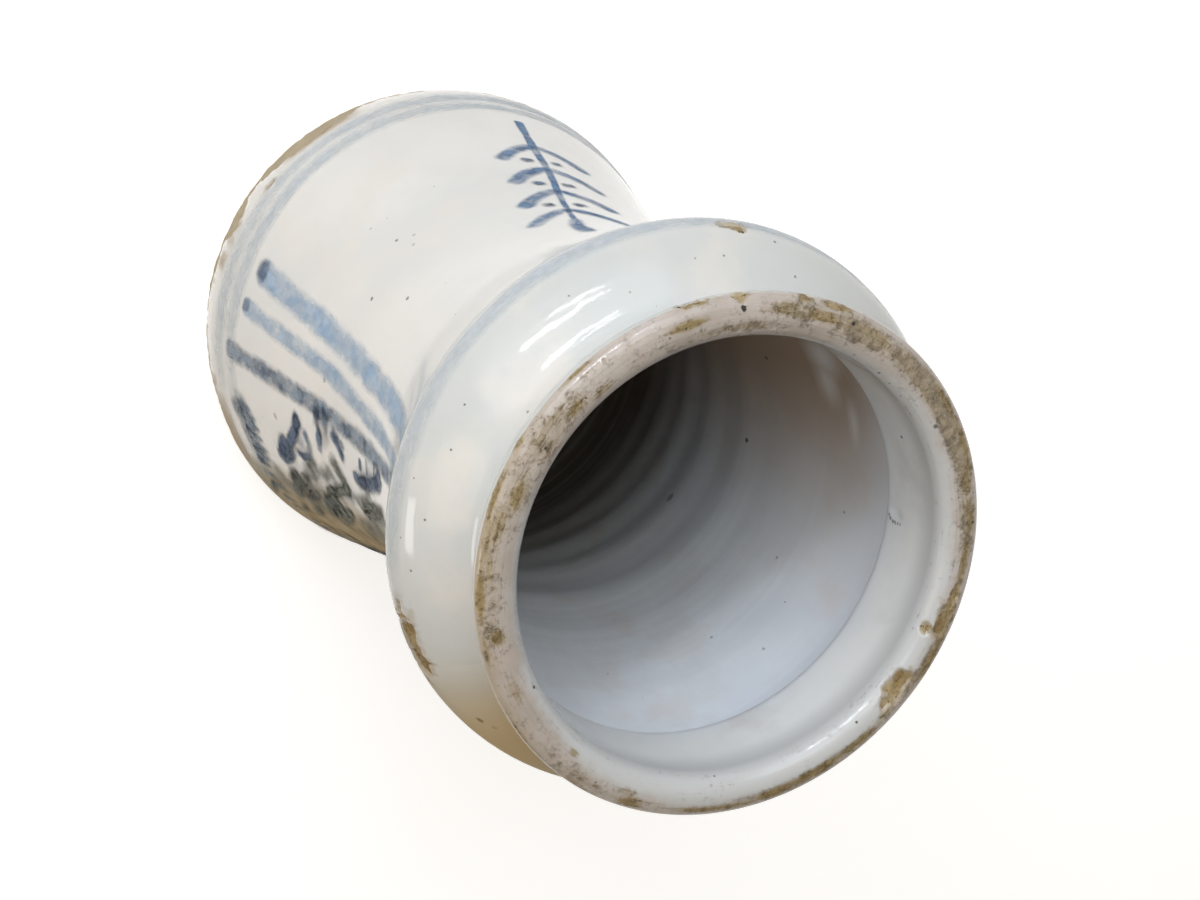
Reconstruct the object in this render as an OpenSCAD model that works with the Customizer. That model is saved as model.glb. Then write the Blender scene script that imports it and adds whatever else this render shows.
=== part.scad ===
// Albarello: a thrown, tin-glazed pharmacy jar with blue brush painting.
// The jar stands upright on its foot, with the origin at the middle of the base and +Z up.
// Angles round the jar count from the front, -Y, towards +X.
// One line, the surface, runs from the base up the outside, over the lip and down the inside.
// The clay lies one glaze thickness under it, and the paint lies on it.

/* [Overall] */
// Height from the base to the crest of the lip
height = 185; // [150:1:260]

/* [Lip and mouth] */
// Diameter of the lip at its widest ring
lip_d = 100; // [94:0.5:110]
// Depth of the lip's widest ring below the crest
lip_drop = 2.4; // [1.5:0.1:4]
// Distance of the crest inside the lip's widest ring
crest_in = 4; // [2:0.1:6]
// Width of the lip, from its widest ring to the mouth
lip_w = 8.1; // [6.5:0.1:12]
// Depth of the top of the straight throat below the crest
mouth_drop = 4; // [2:0.5:6]
// Depth of the bottom of the straight throat below the crest
throat_drop = 20.4; // [15:0.2:24]

/* [Neck and shoulder] */
// Depth of the neck groove inside the lip's widest ring
neck_in = 5; // [2:0.1:6]
// Depth of the neck groove below the crest
neck_drop = 14; // [10:0.5:17]
// Diameter of the shoulder at its widest
shoulder_d = 114; // [106:0.5:130]
// Depth of the shoulder's widest ring below the crest
shoulder_drop = 31.4; // [27:0.2:40]

/* [Body] */
// Diameter of the waist at its narrowest
waist_d = 90; // [84:0.5:104]
// Height of the waist above the base
waist_z = 98; // [75:1:105]

/* [Foot] */
// Diameter of the foot at its widest
foot_d = 118.4; // [108:0.2:136]
// Height of the foot's widest ring above the base
foot_z = 15; // [10:0.5:20]
// Distance of the resting ring's edge inside the foot's widest ring
base_in = 4.8; // [2:0.1:8]
// Diameter of the hollow under the base
recess_d = 84; // [60:1:94]
// Depth of the hollow under the base
recess_depth = 1.5; // [0.5:0.1:4]

/* [Wall] */
// Thickness of the body's wall, with its glaze
wall_t = 6.5; // [4:0.1:9]
// Thickness of the wall at the shoulder, with its glaze
shoulder_wall_t = 6; // [4:0.1:9]
// Thickness of the wall at the heel, with its glaze
heel_wall_t = 10; // [6:0.5:14]
// Thickness of the floor, with its glaze and the hollow under it
floor_t = 9; // [6:0.5:14]
// Radius of the corner between the inside wall and the floor
heel_r = 15; // [8:0.5:20]

/* [Throwing rings] */
// Distance from one inside ring to the next
ring_pitch = 17; // [8:0.5:24]
// Height of the inside rings
ring_depth = 0.6; // [0.1:0.1:1.2]

/* [Glaze] */
// Thickness of the glaze
glaze_t = 0.5; // [0.3:0.05:1]
// Height of the edge of the glaze above the base
glaze_line_z = 16; // [12:0.5:22]
// Width of the worn strip along the crest of the lip
lip_wear_w = 2.6; // [1:0.1:5]
// Radius of the chips in the outside glaze
chip_r = 4; // [2:0.1:6]

/* [Painted bands] */
// Thickness of the paint
paint_t = 0.15; // [0.1:0.05:0.4]
// Width of each band above the foot
foot_band_w = 3.6; // [2:0.1:6]
// Gap between the two bands above the foot
foot_band_gap = 1.4; // [0.5:0.1:4]
// Height of the lower foot band above the edge of the glaze
foot_band_rise = 2.2; // [0.5:0.1:6]
// Width of each band at the shoulder
shoulder_band_w = 3; // [1.5:0.1:5]
// Distance from the shoulder's widest ring to the band above and below it
shoulder_band_off = 1; // [0.5:0.1:3]

/* [Painted panel] */
// Angle of the middle of the painted panel
panel_angle = 86; // [0:1:180]
// Angle from the panel's middle to the foot of the broad stripe
broad_angle = 69; // [66:0.5:76]
// Width of the broad stripe
broad_w = 4.8; // [3:0.1:6]
// Angle from the panel's middle to the foot of the slim stripe
slim_angle = 59.5; // [57:0.5:62]
// Width of the slim stripe
slim_w = 3.2; // [2:0.1:4.5]
// Angle from the panel's middle to the foot of the dark stripe
dark_angle = 48; // [46:0.5:51]
// Width of the dark stripe
dark_w = 3.6; // [2:0.1:5]
// Angle by which the two outer stripes lean in towards the top
stripe_lean = 7.5; // [0:0.5:10]
// Gap between the stripes' beads and the upper foot band
bead_gap = 4; // [1:0.5:10]
// Diameter of the bead at the foot of the broad stripe
broad_bead_d = 5.4; // [3:0.1:7]
// Diameter of the bead at the foot of the slim stripe
slim_bead_d = 3.8; // [2:0.1:5]
// Gap between the stripes' tops and the lower shoulder band
stripe_top_gap = 16; // [6:1:30]
// Height at which the panel's flowers and leaves are drawn
motif_h = 100; // [70:1:110]
// Width of the grass blades at the foot
blade_foot_w = 2.6; // [1:0.1:4]
// Width of the grass blades at the tip
blade_tip_w = 1.4; // [0.5:0.1:3]

/* [Painted sprig] */
// Angle of the sprig's stem at its foot
sprig_angle = -62; // [-80:1:-40]
// Height of the sprig's foot above the upper foot band
sprig_rise = 5; // [2:1:15]
// Length of the sprig's stem
sprig_l = 66; // [40:1:80]
// Distance by which the top of the stem stands to one side
sprig_side_w = 9; // [0:0.5:15]
// Width of the stem
stem_w = 1.8; // [1:0.1:3]
// Length of the sprig's leaves
sprig_leaf_l = 15; // [8:0.5:20]
// Width of the sprig's leaves
sprig_leaf_w = 5; // [3:0.5:8]
// Diameter of the sprig's berries
berry_d = 3; // [1.5:0.1:5]

/* [Hidden] */
$fn = 96;

clay_colour = [0.66, 0.55, 0.38];
body_glaze_colour = [0.87, 0.86, 0.83];
inner_glaze_colour = [0.74, 0.77, 0.81];
lip_glaze_colour = [0.80, 0.76, 0.73];
band_colour = [0.70, 0.75, 0.80];
pale_blue = [0.60, 0.70, 0.79];
grey_blue = [0.42, 0.48, 0.55];
deep_blue = [0.25, 0.31, 0.42];
leaf_colour = [0.20, 0.24, 0.26];
sprig_blue = [0.30, 0.43, 0.60];

// Radii and heights of the jar's rings
lip_r = lip_d / 2;
crest_r = lip_r - crest_in;
mouth_r = lip_r - lip_w;
neck_r = lip_r - neck_in;
foot_r = foot_d / 2;
base_r = foot_r - base_in;
lip_z = height - lip_drop;
neck_z = height - neck_drop;
shoulder_z = height - shoulder_drop;
mouth_z = height - mouth_drop;
throat_z = height - throat_drop;

// How much of each rise or fall stays upright near its first and its second ring
foot_rise = [0.07, 0.31];
body_rise = [0.73, 0.03];
shoulder_rise = [0.62, 0.25];
neck_rise = [0.50, 0.40];
throat_fall = [0.25, 0.45];
inside_fall = [0.10, 0.55];
heel_fall = [0.35, 0.20];
curve_steps = 10;
ring_steps = 6;

// The surface
function mix(a, b, t) = a + (b - a) * t;

// A point on the rise from ring a to ring b, upright at both
function rise_point(a, b, hold, t) =
    let (up = b[1] - a[1], s = 1 - t)
    let (c = [a[0], a[1] + hold[0] * up], d = [b[0], b[1] - hold[1] * up])
    s * s * s * a + 3 * s * s * t * c + 3 * s * t * t * d + t * t * t * b;

function rise(a, b, hold, steps = curve_steps) =
    [for (i = [0 : steps - 1]) rise_point(a, b, hold, i / steps)];

// A quarter of an ellipse round a middle, without its last point
function quarter(middle, half, start, turn, steps) =
    [for (i = [0 : steps - 1])
        let (a = start + turn * i / steps)
        middle + [half[0] * cos(a), half[1] * sin(a)]];

foot_ring = [foot_r, foot_z];
waist_ring = [waist_d / 2, waist_z];
shoulder_ring = [shoulder_d / 2, shoulder_z];
neck_ring = [neck_r, neck_z];
lip_ring = [lip_r, lip_z];
outside = concat(
    quarter([base_r, foot_z], [base_in, foot_z], -90, 90, curve_steps / 2),
    rise(foot_ring, waist_ring, foot_rise),
    rise(waist_ring, shoulder_ring, body_rise),
    rise(shoulder_ring, neck_ring, shoulder_rise),
    rise(neck_ring, lip_ring, neck_rise));

over_lip = concat(
    quarter([crest_r, lip_z], [crest_in, lip_drop], 0, 90, curve_steps / 2),
    quarter([crest_r, mouth_z], [crest_r - mouth_r, mouth_drop], 90, 90, curve_steps / 2));

heel_z = floor_t + heel_r;
in_shoulder = [shoulder_d / 2 - shoulder_wall_t, shoulder_z];
in_waist = [waist_d / 2 - wall_t, waist_z];
in_heel = [foot_r - heel_wall_t, heel_z];

// The rings left by the potter's fingers fade out towards the shoulder and the heel
ringed_length = in_shoulder[1] - in_heel[1];
upper_steps = ceil((in_shoulder[1] - in_waist[1]) / ring_pitch * ring_steps);
lower_steps = ceil((in_waist[1] - in_heel[1]) / ring_pitch * ring_steps);
function ringed(p) =
    let (down = in_shoulder[1] - p[1])
    p + [ring_depth / 2 * sin(180 * down / ringed_length) * sin(360 * down / ring_pitch), 0];
inside_wall = concat(
    rise(in_shoulder, in_waist, inside_fall, upper_steps),
    rise(in_waist, in_heel, heel_fall, lower_steps));
inside = concat(
    [[mouth_r, mouth_z]],
    rise([mouth_r, throat_z], in_shoulder, throat_fall),
    [for (p = inside_wall) ringed(p)],
    quarter([in_heel[0] - heel_r, heel_z], [heel_r, heel_r], 0, -90, curve_steps / 2),
    [[in_heel[0] - heel_r, floor_t], [0, floor_t]]);

surface = concat(outside, over_lip, inside);
last = len(surface) - 1;

// Places along the surface, counted in points: a whole number is a point of it
lip_out = len(outside);
lip_in = len(outside) + len(over_lip);
function place_at(z) =
    let (i = [for (k = [0 : lip_out - 1]) if (surface[k][1] <= z && surface[k + 1][1] > z) k][0])
    i + (z - surface[i][1]) / (surface[i + 1][1] - surface[i][1]);
function at(line, t) =
    let (i = min(floor(t), last - 1))
    mix(line[i], line[i + 1], t - i);
function radius_at(z) = at(surface, place_at(z))[0];

// A line at a distance from the surface, out into the air where the distance is positive
function off_surface(distance) =
    [for (i = [0 : last])
        let (along = surface[min(i + 1, last)] - surface[max(i - 1, 0)])
        surface[i] + distance / norm(along) * [along[1], -along[0]]];
clay_line = off_surface(-glaze_t);
paint_line = off_surface(paint_t);

function stretch(line, from, to) =
    concat([at(line, from)], [for (i = [floor(from) + 1 : ceil(to) - 1]) line[i]], [at(line, to)]);
function backwards(line) = [for (i = [len(line) - 1 : -1 : 0]) line[i]];
function layer(under, over, from, to) =
    concat(stretch(over, from, to), backwards(stretch(under, from, to)));

glaze_line = place_at(glaze_line_z);

// Chips in the outside glaze: angle, height, and radius as a share of the chips' radius
chips = [[58, shoulder_z + chip_r, 1], [63, shoulder_z + chip_r, 0.7], [-58, shoulder_z + chip_r, 0.6],
    [-30, glaze_line_z, 1.1], [-18, glaze_line_z, 0.7], [14, glaze_line_z, 1], [52, glaze_line_z, 1.2]];
// Worn stretches of the lip: start angle, sweep, and distance out from the crest in strip widths
lip_wear = [[-150, 62, 0.2], [-84, 12, -0.4], [-40, 22, 0.6], [30, 34, 0.6], [150, 16, 0.3],
    [192, 10, -0.2]];
wear_depth = 2 * glaze_t + lip_drop;

// Clay and glaze
module revolved(outline) {
    rotate_extrude() polygon(outline);
}

module clay_body() {
    color(clay_colour)
    revolved(concat(
        stretch(surface, 0, glaze_line),
        stretch(clay_line, glaze_line, last),
        [[0, recess_depth], [recess_d / 2 - recess_depth, recess_depth], [recess_d / 2, 0]]));
}

module inner_glaze() {
    color(inner_glaze_colour)
    revolved(layer(clay_line, surface, lip_in, last));
}

module outer_glaze() {
    color(body_glaze_colour)
    difference() {
        revolved(layer(clay_line, surface, glaze_line, lip_out));
        for (chip = chips)
            rotate([0, 0, chip[0]])
            translate([0, -radius_at(chip[1]), chip[1]])
            sphere(r = chip_r * chip[2]);
    }
}

module lip_glaze() {
    color(lip_glaze_colour)
    difference() {
        revolved(layer(clay_line, surface, lip_out, lip_in));
        for (worn = lip_wear)
            rotate([0, 0, worn[0] - 90])
            rotate_extrude(angle = worn[1])
            translate([crest_r + lip_wear_w * (worn[2] - 0.5), height - wear_depth])
            square([lip_wear_w, 2 * wear_depth]);
    }
}

// Painted bands
foot_low_z = glaze_line_z + foot_band_rise;
foot_high_z = foot_low_z + foot_band_w + foot_band_gap;
foot_top_z = foot_high_z + foot_band_w;
shoulder_low_z = shoulder_z - shoulder_band_off - shoulder_band_w;
shoulder_high_z = shoulder_z + shoulder_band_off;

module band(low_z, high_z) {
    color(band_colour)
    revolved(layer(surface, paint_line, place_at(low_z), place_at(high_z)));
}

module shoulder_band_upper() {
    band(shoulder_high_z, shoulder_high_z + shoulder_band_w);
}

module shoulder_band_lower() {
    band(shoulder_low_z, shoulder_low_z + shoulder_band_w);
}

module foot_band_upper() {
    band(foot_high_z, foot_top_z);
}

module foot_band_lower() {
    band(foot_low_z, foot_low_z + foot_band_w);
}

// Brush marks: outlines on the wall, in millimetres across and up, cut out of the paint layer
paint_gap = 0.5;
paint_low_z = foot_top_z + paint_gap;
paint_high_z = shoulder_low_z - paint_gap;
mark_start = waist_d / 2 - wall_t;
mark_reach = foot_r;
sides = [-1, 1];

module painted(colour) {
    color(colour)
    intersection() {
        revolved(layer(surface, paint_line, place_at(paint_low_z), place_at(paint_high_z)));
        children();
    }
}

module mark(angle, z, outline) {
    rotate([0, 0, angle])
    translate([0, -mark_start, z])
    rotate([90, 0, 0])
    linear_extrude(mark_reach)
    polygon(outline);
}

function brush_line(p, q, p_width, q_width) =
    let (way = atan2(q[1] - p[1], q[0] - p[0]))
    concat(
        [for (a = [90 : 30 : 270]) p + p_width / 2 * [cos(way + a), sin(way + a)]],
        [for (a = [-90 : 30 : 90]) q + q_width / 2 * [cos(way + a), sin(way + a)]]);

// A dab is fuller towards one end, as a loaded brush leaves it
dab_steps = 14;
dab_fullness = 0.35;
function dab(long, wide, turn) =
    [for (i = [0 : dab_steps - 1])
        let (a = 360 * i / dab_steps)
        let (x = long / 2 * cos(a), y = wide / 2 * sin(a) * (1 + dab_fullness * cos(a)))
        [x * cos(turn) - y * sin(turn), x * sin(turn) + y * cos(turn)]];

// The panel's stripes stand in pairs, one each side of its middle
broad_bead_z = foot_top_z + bead_gap + broad_bead_d / 2;
slim_bead_z = foot_top_z + bead_gap + slim_bead_d / 2;
stripe_top_z = shoulder_low_z - stripe_top_gap;
dark_top_step = 6;

module stripe(side, foot_angle, lean, foot_z, top_z, wide) {
    across_foot = side * radius_at(foot_z) * sin(lean / 2);
    across_top = -side * radius_at(top_z) * sin(lean / 2);
    mark(panel_angle + side * (foot_angle - lean / 2), 0,
        brush_line([across_foot, foot_z], [across_top, top_z], wide, wide));
}

module bead(side, foot_angle, z, wide) {
    rotate([0, 0, panel_angle + side * foot_angle])
    translate([0, -mark_start, z])
    rotate([90, 0, 0])
    cylinder(d = wide, h = mark_reach);
}

module broad_marks(side) {
    stripe(side, broad_angle, stripe_lean, broad_bead_z, stripe_top_z, broad_w);
}

module slim_marks(side) {
    stripe(side, slim_angle, stripe_lean, slim_bead_z, stripe_top_z, slim_w);
}

module dark_marks(side) {
    stripe(side, dark_angle, 0, paint_low_z + dark_w, stripe_top_z - dark_top_step, dark_w);
}

module bead_marks(side) {
    bead(side, broad_angle, broad_bead_z, broad_bead_d);
    bead(side, slim_angle, slim_bead_z, slim_bead_d);
}

module broad_stripes() {
    painted(pale_blue)
    for (side = sides)
        difference() {
            broad_marks(side);
            bead_marks(side);
        }
}

module slim_stripes() {
    painted(pale_blue)
    for (side = sides)
        difference() {
            slim_marks(side);
            bead_marks(side);
            broad_marks(side);
        }
}

module dark_stripes() {
    painted(grey_blue)
    for (side = sides)
        difference() {
            dark_marks(side);
            bead_marks(side);
            slim_marks(side);
        }
}

module stripe_beads() {
    painted(deep_blue)
    for (side = sides)
        bead_marks(side);
}

// The panel's flowers and leaves, drawn on a motif 100 high: angle from the middle, height above
// the paint's lower edge, length, width and turn of each dab
motif = motif_h / 100;
flower_marks = [[39, 85, 11, 4.2, 118], [34, 70, 13, 4.6, 98], [41, 76, 5, 2.6, 60],
    [39, 56, 9, 3.6, 20], [40, 47, 8, 3, 8], [38, 36, 8, 4, 125], [31, 37, 9, 4, 60],
    [34.5, 42, 6, 3, 10], [28, 23, 14, 4.4, 122]];
leaf_marks = [[24, 78, 13, 4.6, 112], [27, 56, 10, 4, 150], [22, 49, 9, 4, 40],
    [14, 43, 16, 6.4, 105], [17, 20, 17, 5.6, 128], [8, 62, 12, 4.6, 75], [5, 26, 12, 4.4, 95],
    [21, 33, 8, 3.2, 70]];
tuft_marks = [[34, 5, 58], [31, 7, 75], [28, 6, 100], [25, 8, 82], [22, 6, 118], [19, 5, 70]];

module dabs(marks, side) {
    for (m = marks)
        let (turn = side > 0 ? 180 - m[4] : m[4])
        mark(panel_angle + side * m[0], paint_low_z + motif * m[1],
            dab(motif * m[2], motif * m[3], turn));
}

module flower_dabs() {
    painted(deep_blue)
    for (side = sides)
        difference() {
            dabs(flower_marks, side);
            dark_marks(side);
        }
}

module leaf_dabs() {
    painted(leaf_colour)
    for (side = sides)
        difference() {
            dabs(leaf_marks, side);
            dabs(flower_marks, side);
        }
}

module grass_tufts() {
    painted(grey_blue)
    for (side = sides)
        difference() {
            for (blade = tuft_marks)
                mark(panel_angle + side * blade[0], paint_low_z + blade_foot_w,
                    brush_line([0, 0], motif * blade[1] * [-side * cos(blade[2]), sin(blade[2])],
                        blade_foot_w, blade_tip_w));
            dabs(flower_marks, side);
            dabs(leaf_marks, side);
        }
}

// The sprig's stem bends in two straight pulls of the brush, with leaves in pairs and a top leaf
sprig_z = foot_top_z + sprig_rise;
stem_points = [[0, stem_w / 2], [sprig_side_w / 3, sprig_l / 2], [sprig_side_w, sprig_l]];
sprig_pairs = [0.24, 0.46, 0.68, 0.88];
leaf_spread = 48;
top_leaf_turn = 80;
berry_steps = [0.4, 0.62, 0.83];
berry_stand = stem_w + 0.6 * berry_d;
leaf_gap = stem_w / 3;

function stem_at(share) =
    share < 0.5 ? mix(stem_points[0], stem_points[1], 2 * share)
        : mix(stem_points[1], stem_points[2], 2 * share - 1);

module stem_mark() {
    for (i = [0 : len(stem_points) - 2])
        mark(sprig_angle, sprig_z, brush_line(stem_points[i], stem_points[i + 1], stem_w, stem_w));
}

module sprig_leaf_marks() {
    leaf_reach = sprig_leaf_l / 2 + stem_w / 2 + leaf_gap;
    for (share = sprig_pairs, side = sides)
        let (turn = 90 + side * leaf_spread)
        mark(sprig_angle, sprig_z,
            [for (p = dab(sprig_leaf_l, sprig_leaf_w, turn))
                p + stem_at(share) + leaf_reach * [cos(turn), sin(turn)]]);
    mark(sprig_angle, sprig_z,
        [for (p = dab(sprig_leaf_l, sprig_leaf_w, top_leaf_turn))
            p + stem_at(1) + leaf_reach * [cos(top_leaf_turn), sin(top_leaf_turn)]]);
}

module sprig_stem() {
    painted(sprig_blue)
    stem_mark();
}

module sprig_leaves() {
    painted(sprig_blue)
    difference() {
        sprig_leaf_marks();
        stem_mark();
    }
}

module sprig_berries() {
    painted(deep_blue)
    difference() {
        for (share = berry_steps, side = sides)
            let (p = stem_at(share) + side * [berry_stand, 0])
            mark(sprig_angle, sprig_z,
                [for (a = [0 : 30 : 330]) p + berry_d / 2 * [cos(a), sin(a)]]);
        stem_mark();
        sprig_leaf_marks();
    }
}

clay_body();
inner_glaze();
outer_glaze();
lip_glaze();
shoulder_band_upper();
shoulder_band_lower();
foot_band_upper();
foot_band_lower();
broad_stripes();
slim_stripes();
dark_stripes();
stripe_beads();
flower_dabs();
leaf_dabs();
grass_tufts();
sprig_stem();
sprig_leaves();
sprig_berries();
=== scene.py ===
import math

import bpy
import numpy as np
from mathutils import Matrix, Vector


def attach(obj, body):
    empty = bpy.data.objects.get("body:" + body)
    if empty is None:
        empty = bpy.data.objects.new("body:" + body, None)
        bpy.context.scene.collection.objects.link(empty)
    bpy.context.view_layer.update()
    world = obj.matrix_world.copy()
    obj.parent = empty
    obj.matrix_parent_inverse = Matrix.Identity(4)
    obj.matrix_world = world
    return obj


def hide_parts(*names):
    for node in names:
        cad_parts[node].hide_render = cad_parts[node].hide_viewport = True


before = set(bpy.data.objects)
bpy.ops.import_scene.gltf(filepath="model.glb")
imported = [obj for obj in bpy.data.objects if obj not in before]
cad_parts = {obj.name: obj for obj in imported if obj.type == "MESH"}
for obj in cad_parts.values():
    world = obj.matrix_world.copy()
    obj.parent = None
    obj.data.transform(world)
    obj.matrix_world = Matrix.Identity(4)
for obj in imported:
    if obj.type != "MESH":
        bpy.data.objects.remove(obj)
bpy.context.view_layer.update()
scene = bpy.context.scene
mm = 0.001
sharpAngle = 55    # degrees, above which an edge is shaded as sharp
print("frame loaded:", len(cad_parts), "nodes")

# the jar's rings and walls in millimetres, the same as its solids
# angles count from the front, -Y, towards +X
jar = {
    "height": 185.0,
    "lipRadius": 50.0,
    "lipDrop": 2.4,
    "crestIn": 4.0,
    "lipWidth": 8.1,
    "mouthDrop": 4.0,
    "throatDrop": 20.4,
    "neckIn": 5.0,
    "neckDrop": 14.0,
    "shoulderRadius": 57.0,
    "shoulderDrop": 31.4,
    "waistRadius": 45.0,
    "waistHeight": 98.0,
    "footRadius": 59.2,
    "footHeight": 15.0,
    "baseIn": 4.8,
    "recessRadius": 42.0,
    "recessDepth": 1.5,
    "wall": 6.5,
    "shoulderWall": 6.0,
    "heelWall": 10.0,
    "floor": 9.0,
    "heelRadius": 15.0,
    "ringPitch": 17.0,
    "ringDepth": 0.65,
    "ringTurn": 1.8,
    "ringWaver": (0.4, 0.5),    # how far the rings waver round the jar and down it
    "glaze": 0.5,
    "oval": 0.16,            # how far the hand-thrown wall strays from round
    "lobes": 0.1,
    "strayHeight": 60.0,     # it strays in full from this height and this radius on
    "strayRadius": 30.0,
}

# how much of each rise or fall stays upright near its first and its second ring
holds = {
    "foot": (0.07, 0.31),
    "body": (0.73, 0.03),
    "shoulder": (0.62, 0.25),
    "neck": (0.50, 0.40),
    "throat": (0.25, 0.45),
    "inside": (0.10, 0.55),
    "heel": (0.35, 0.20),
}


def rise(a, b, hold, count):
    t = np.linspace(0, 1, count, endpoint=False)[:, None]
    a = np.array(a)
    b = np.array(b)
    up = b[1] - a[1]
    c = a + (0, hold[0] * up)
    d = b - (0, hold[1] * up)
    s = 1 - t
    return s ** 3 * a + 3 * s * s * t * c + 3 * s * t * t * d + t ** 3 * b


def quarter(middle, half, start, turn, count):
    a = np.radians(start + turn * np.linspace(0, 1, count, endpoint=False))
    return np.array(middle) + np.stack([half[0] * np.cos(a), half[1] * np.sin(a)], -1)


def straight(a, b, count):
    t = np.linspace(0, 1, count, endpoint=False)[:, None]
    return np.array(a) * (1 - t) + np.array(b) * t


# one line from the resting ring up the outside, over the lip, down the inside to the floor's middle
def jarLine():
    lipZ = jar["height"] - jar["lipDrop"]
    mouthZ = jar["height"] - jar["mouthDrop"]
    throatZ = jar["height"] - jar["throatDrop"]
    shoulderZ = jar["height"] - jar["shoulderDrop"]
    crestR = jar["lipRadius"] - jar["crestIn"]
    mouthR = jar["lipRadius"] - jar["lipWidth"]
    baseR = jar["footRadius"] - jar["baseIn"]
    heelZ = jar["floor"] + jar["heelRadius"]
    foot = (jar["footRadius"], jar["footHeight"])
    waist = (jar["waistRadius"], jar["waistHeight"])
    shoulder = (jar["shoulderRadius"], shoulderZ)
    neck = (jar["lipRadius"] - jar["neckIn"], jar["height"] - jar["neckDrop"])
    inShoulder = (jar["shoulderRadius"] - jar["shoulderWall"], shoulderZ)
    inWaist = (jar["waistRadius"] - jar["wall"], jar["waistHeight"])
    inHeel = (jar["footRadius"] - jar["heelWall"], heelZ)
    floorR = inHeel[0] - jar["heelRadius"]
    sections = {
        "footEdge": quarter((baseR, foot[1]), (jar["baseIn"], foot[1]), -90, 90, 30),
        "lowerWall": rise(foot, waist, holds["foot"], 90),
        "upperWall": rise(waist, shoulder, holds["body"], 70),
        "collar": rise(shoulder, neck, holds["shoulder"], 40),
        "neck": rise(neck, (jar["lipRadius"], lipZ), holds["neck"], 30),
        "lip": quarter((crestR, lipZ), (jar["crestIn"], jar["lipDrop"]), 0, 90, 24),
        "crest": quarter((crestR, mouthZ), (crestR - mouthR, jar["mouthDrop"]), 90, 90, 24),
        "throat": straight((mouthR, mouthZ), (mouthR, throatZ), 16),
        "underShoulder": rise((mouthR, throatZ), inShoulder, holds["throat"], 40),
        "inUpper": rise(inShoulder, inWaist, holds["inside"], 60),
        "inLower": rise(inWaist, inHeel, holds["heel"], 70),
        "heel": quarter((floorR, heelZ), (jar["heelRadius"], jar["heelRadius"]), 0, -90, 24),
        "floor": straight((floorR, jar["floor"]), (0, jar["floor"]), 20),
    }
    points = np.vstack([*sections.values(), [(0, jar["floor"])]])
    along = np.concatenate([[0], np.cumsum(np.hypot(*np.diff(points, axis=0).T))])
    starts = np.cumsum([0] + [len(p) for p in sections.values()])
    marks = {name: along[i] for name, i in zip(sections, starts)}
    way = np.gradient(points, along, axis=0)
    way /= np.hypot(*way.T)[:, None]
    outs = np.stack([way[:, 1], -way[:, 0]], -1)
    return points, along, outs, marks


linePoints, lineAlong, lineOuts, marks = jarLine()
outsideCount = int(np.searchsorted(lineAlong, marks["lip"])) + 1
insideStart = int(np.searchsorted(lineAlong, marks["crest"])) + 1


# how far along the line a height on the outside lies
def outsideAt(z):
    return np.interp(z, linePoints[:outsideCount, 1], lineAlong[:outsideCount])


# the same for a height on the inside
def insideAt(z):
    return np.interp(-z, -linePoints[insideStart:, 1], lineAlong[insideStart:])


# and for a distance from the lip's widest ring towards the mouth
def lipAt(inset):
    return marks["lip"] + inset


def radiusAt(s):
    return np.interp(s, lineAlong, linePoints[:, 0])


def heightAt(s):
    return np.interp(s, lineAlong, linePoints[:, 1])


# a point on the jar in metres: angle, distance along the line, lift off the surface in millimetres
def onJar(angle, s, lift=0.0):
    a = np.radians(angle)
    r = radiusAt(s) + lift * np.interp(s, lineAlong, lineOuts[:, 0])
    z = heightAt(s) + lift * np.interp(s, lineAlong, lineOuts[:, 1])
    ringed = np.clip((s - marks["inUpper"]) / (marks["heel"] - marks["inUpper"]), 0, 1)
    ringTurn = math.tau * (s - marks["inUpper"]) / jar["ringPitch"] + a + jar["ringTurn"]
    ringTurn = ringTurn + jar["ringWaver"][0] * np.sin(2 * a + 0.5) + jar["ringWaver"][1] * np.sin(s / 19)
    rings = smoothStep(0.18, 0.42, ringed) * smoothStep(1.0, 0.85, ringed) * np.sin(ringTurn)
    stray = jar["oval"] * np.cos(2 * a + 0.7) + jar["lobes"] * np.cos(3 * a + z / 37 + 1.1)
    stray = stray * np.clip(z / jar["strayHeight"], 0, 1) * np.clip(r / jar["strayRadius"], 0, 1)
    r = r + jar["ringDepth"] / 2 * rings + stray
    return np.stack(np.broadcast_arrays(r * np.sin(a), -r * np.cos(a), z), -1) * mm


# smooth seeded noise over points in metres, about 1 high
def waveNoise(points, length, seed, waves=26):
    draw = np.random.default_rng(seed)
    ways = draw.normal(size=(waves, 3))
    ways *= (draw.uniform(0.6, 1.5, waves) / np.linalg.norm(ways, axis=1))[:, None]
    turns = draw.uniform(0, math.tau, waves)
    total = np.zeros(points.shape[:-1])
    for way, turn in zip(ways, turns):
        total += np.cos(points @ (way * math.tau / (length * mm)) + turn)
    return total * math.sqrt(2 / waves)


def smoothStep(low, high, x):
    t = np.clip((x - low) / (high - low), 0, 1)
    return t * t * (3 - 2 * t)


# meshes

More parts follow.
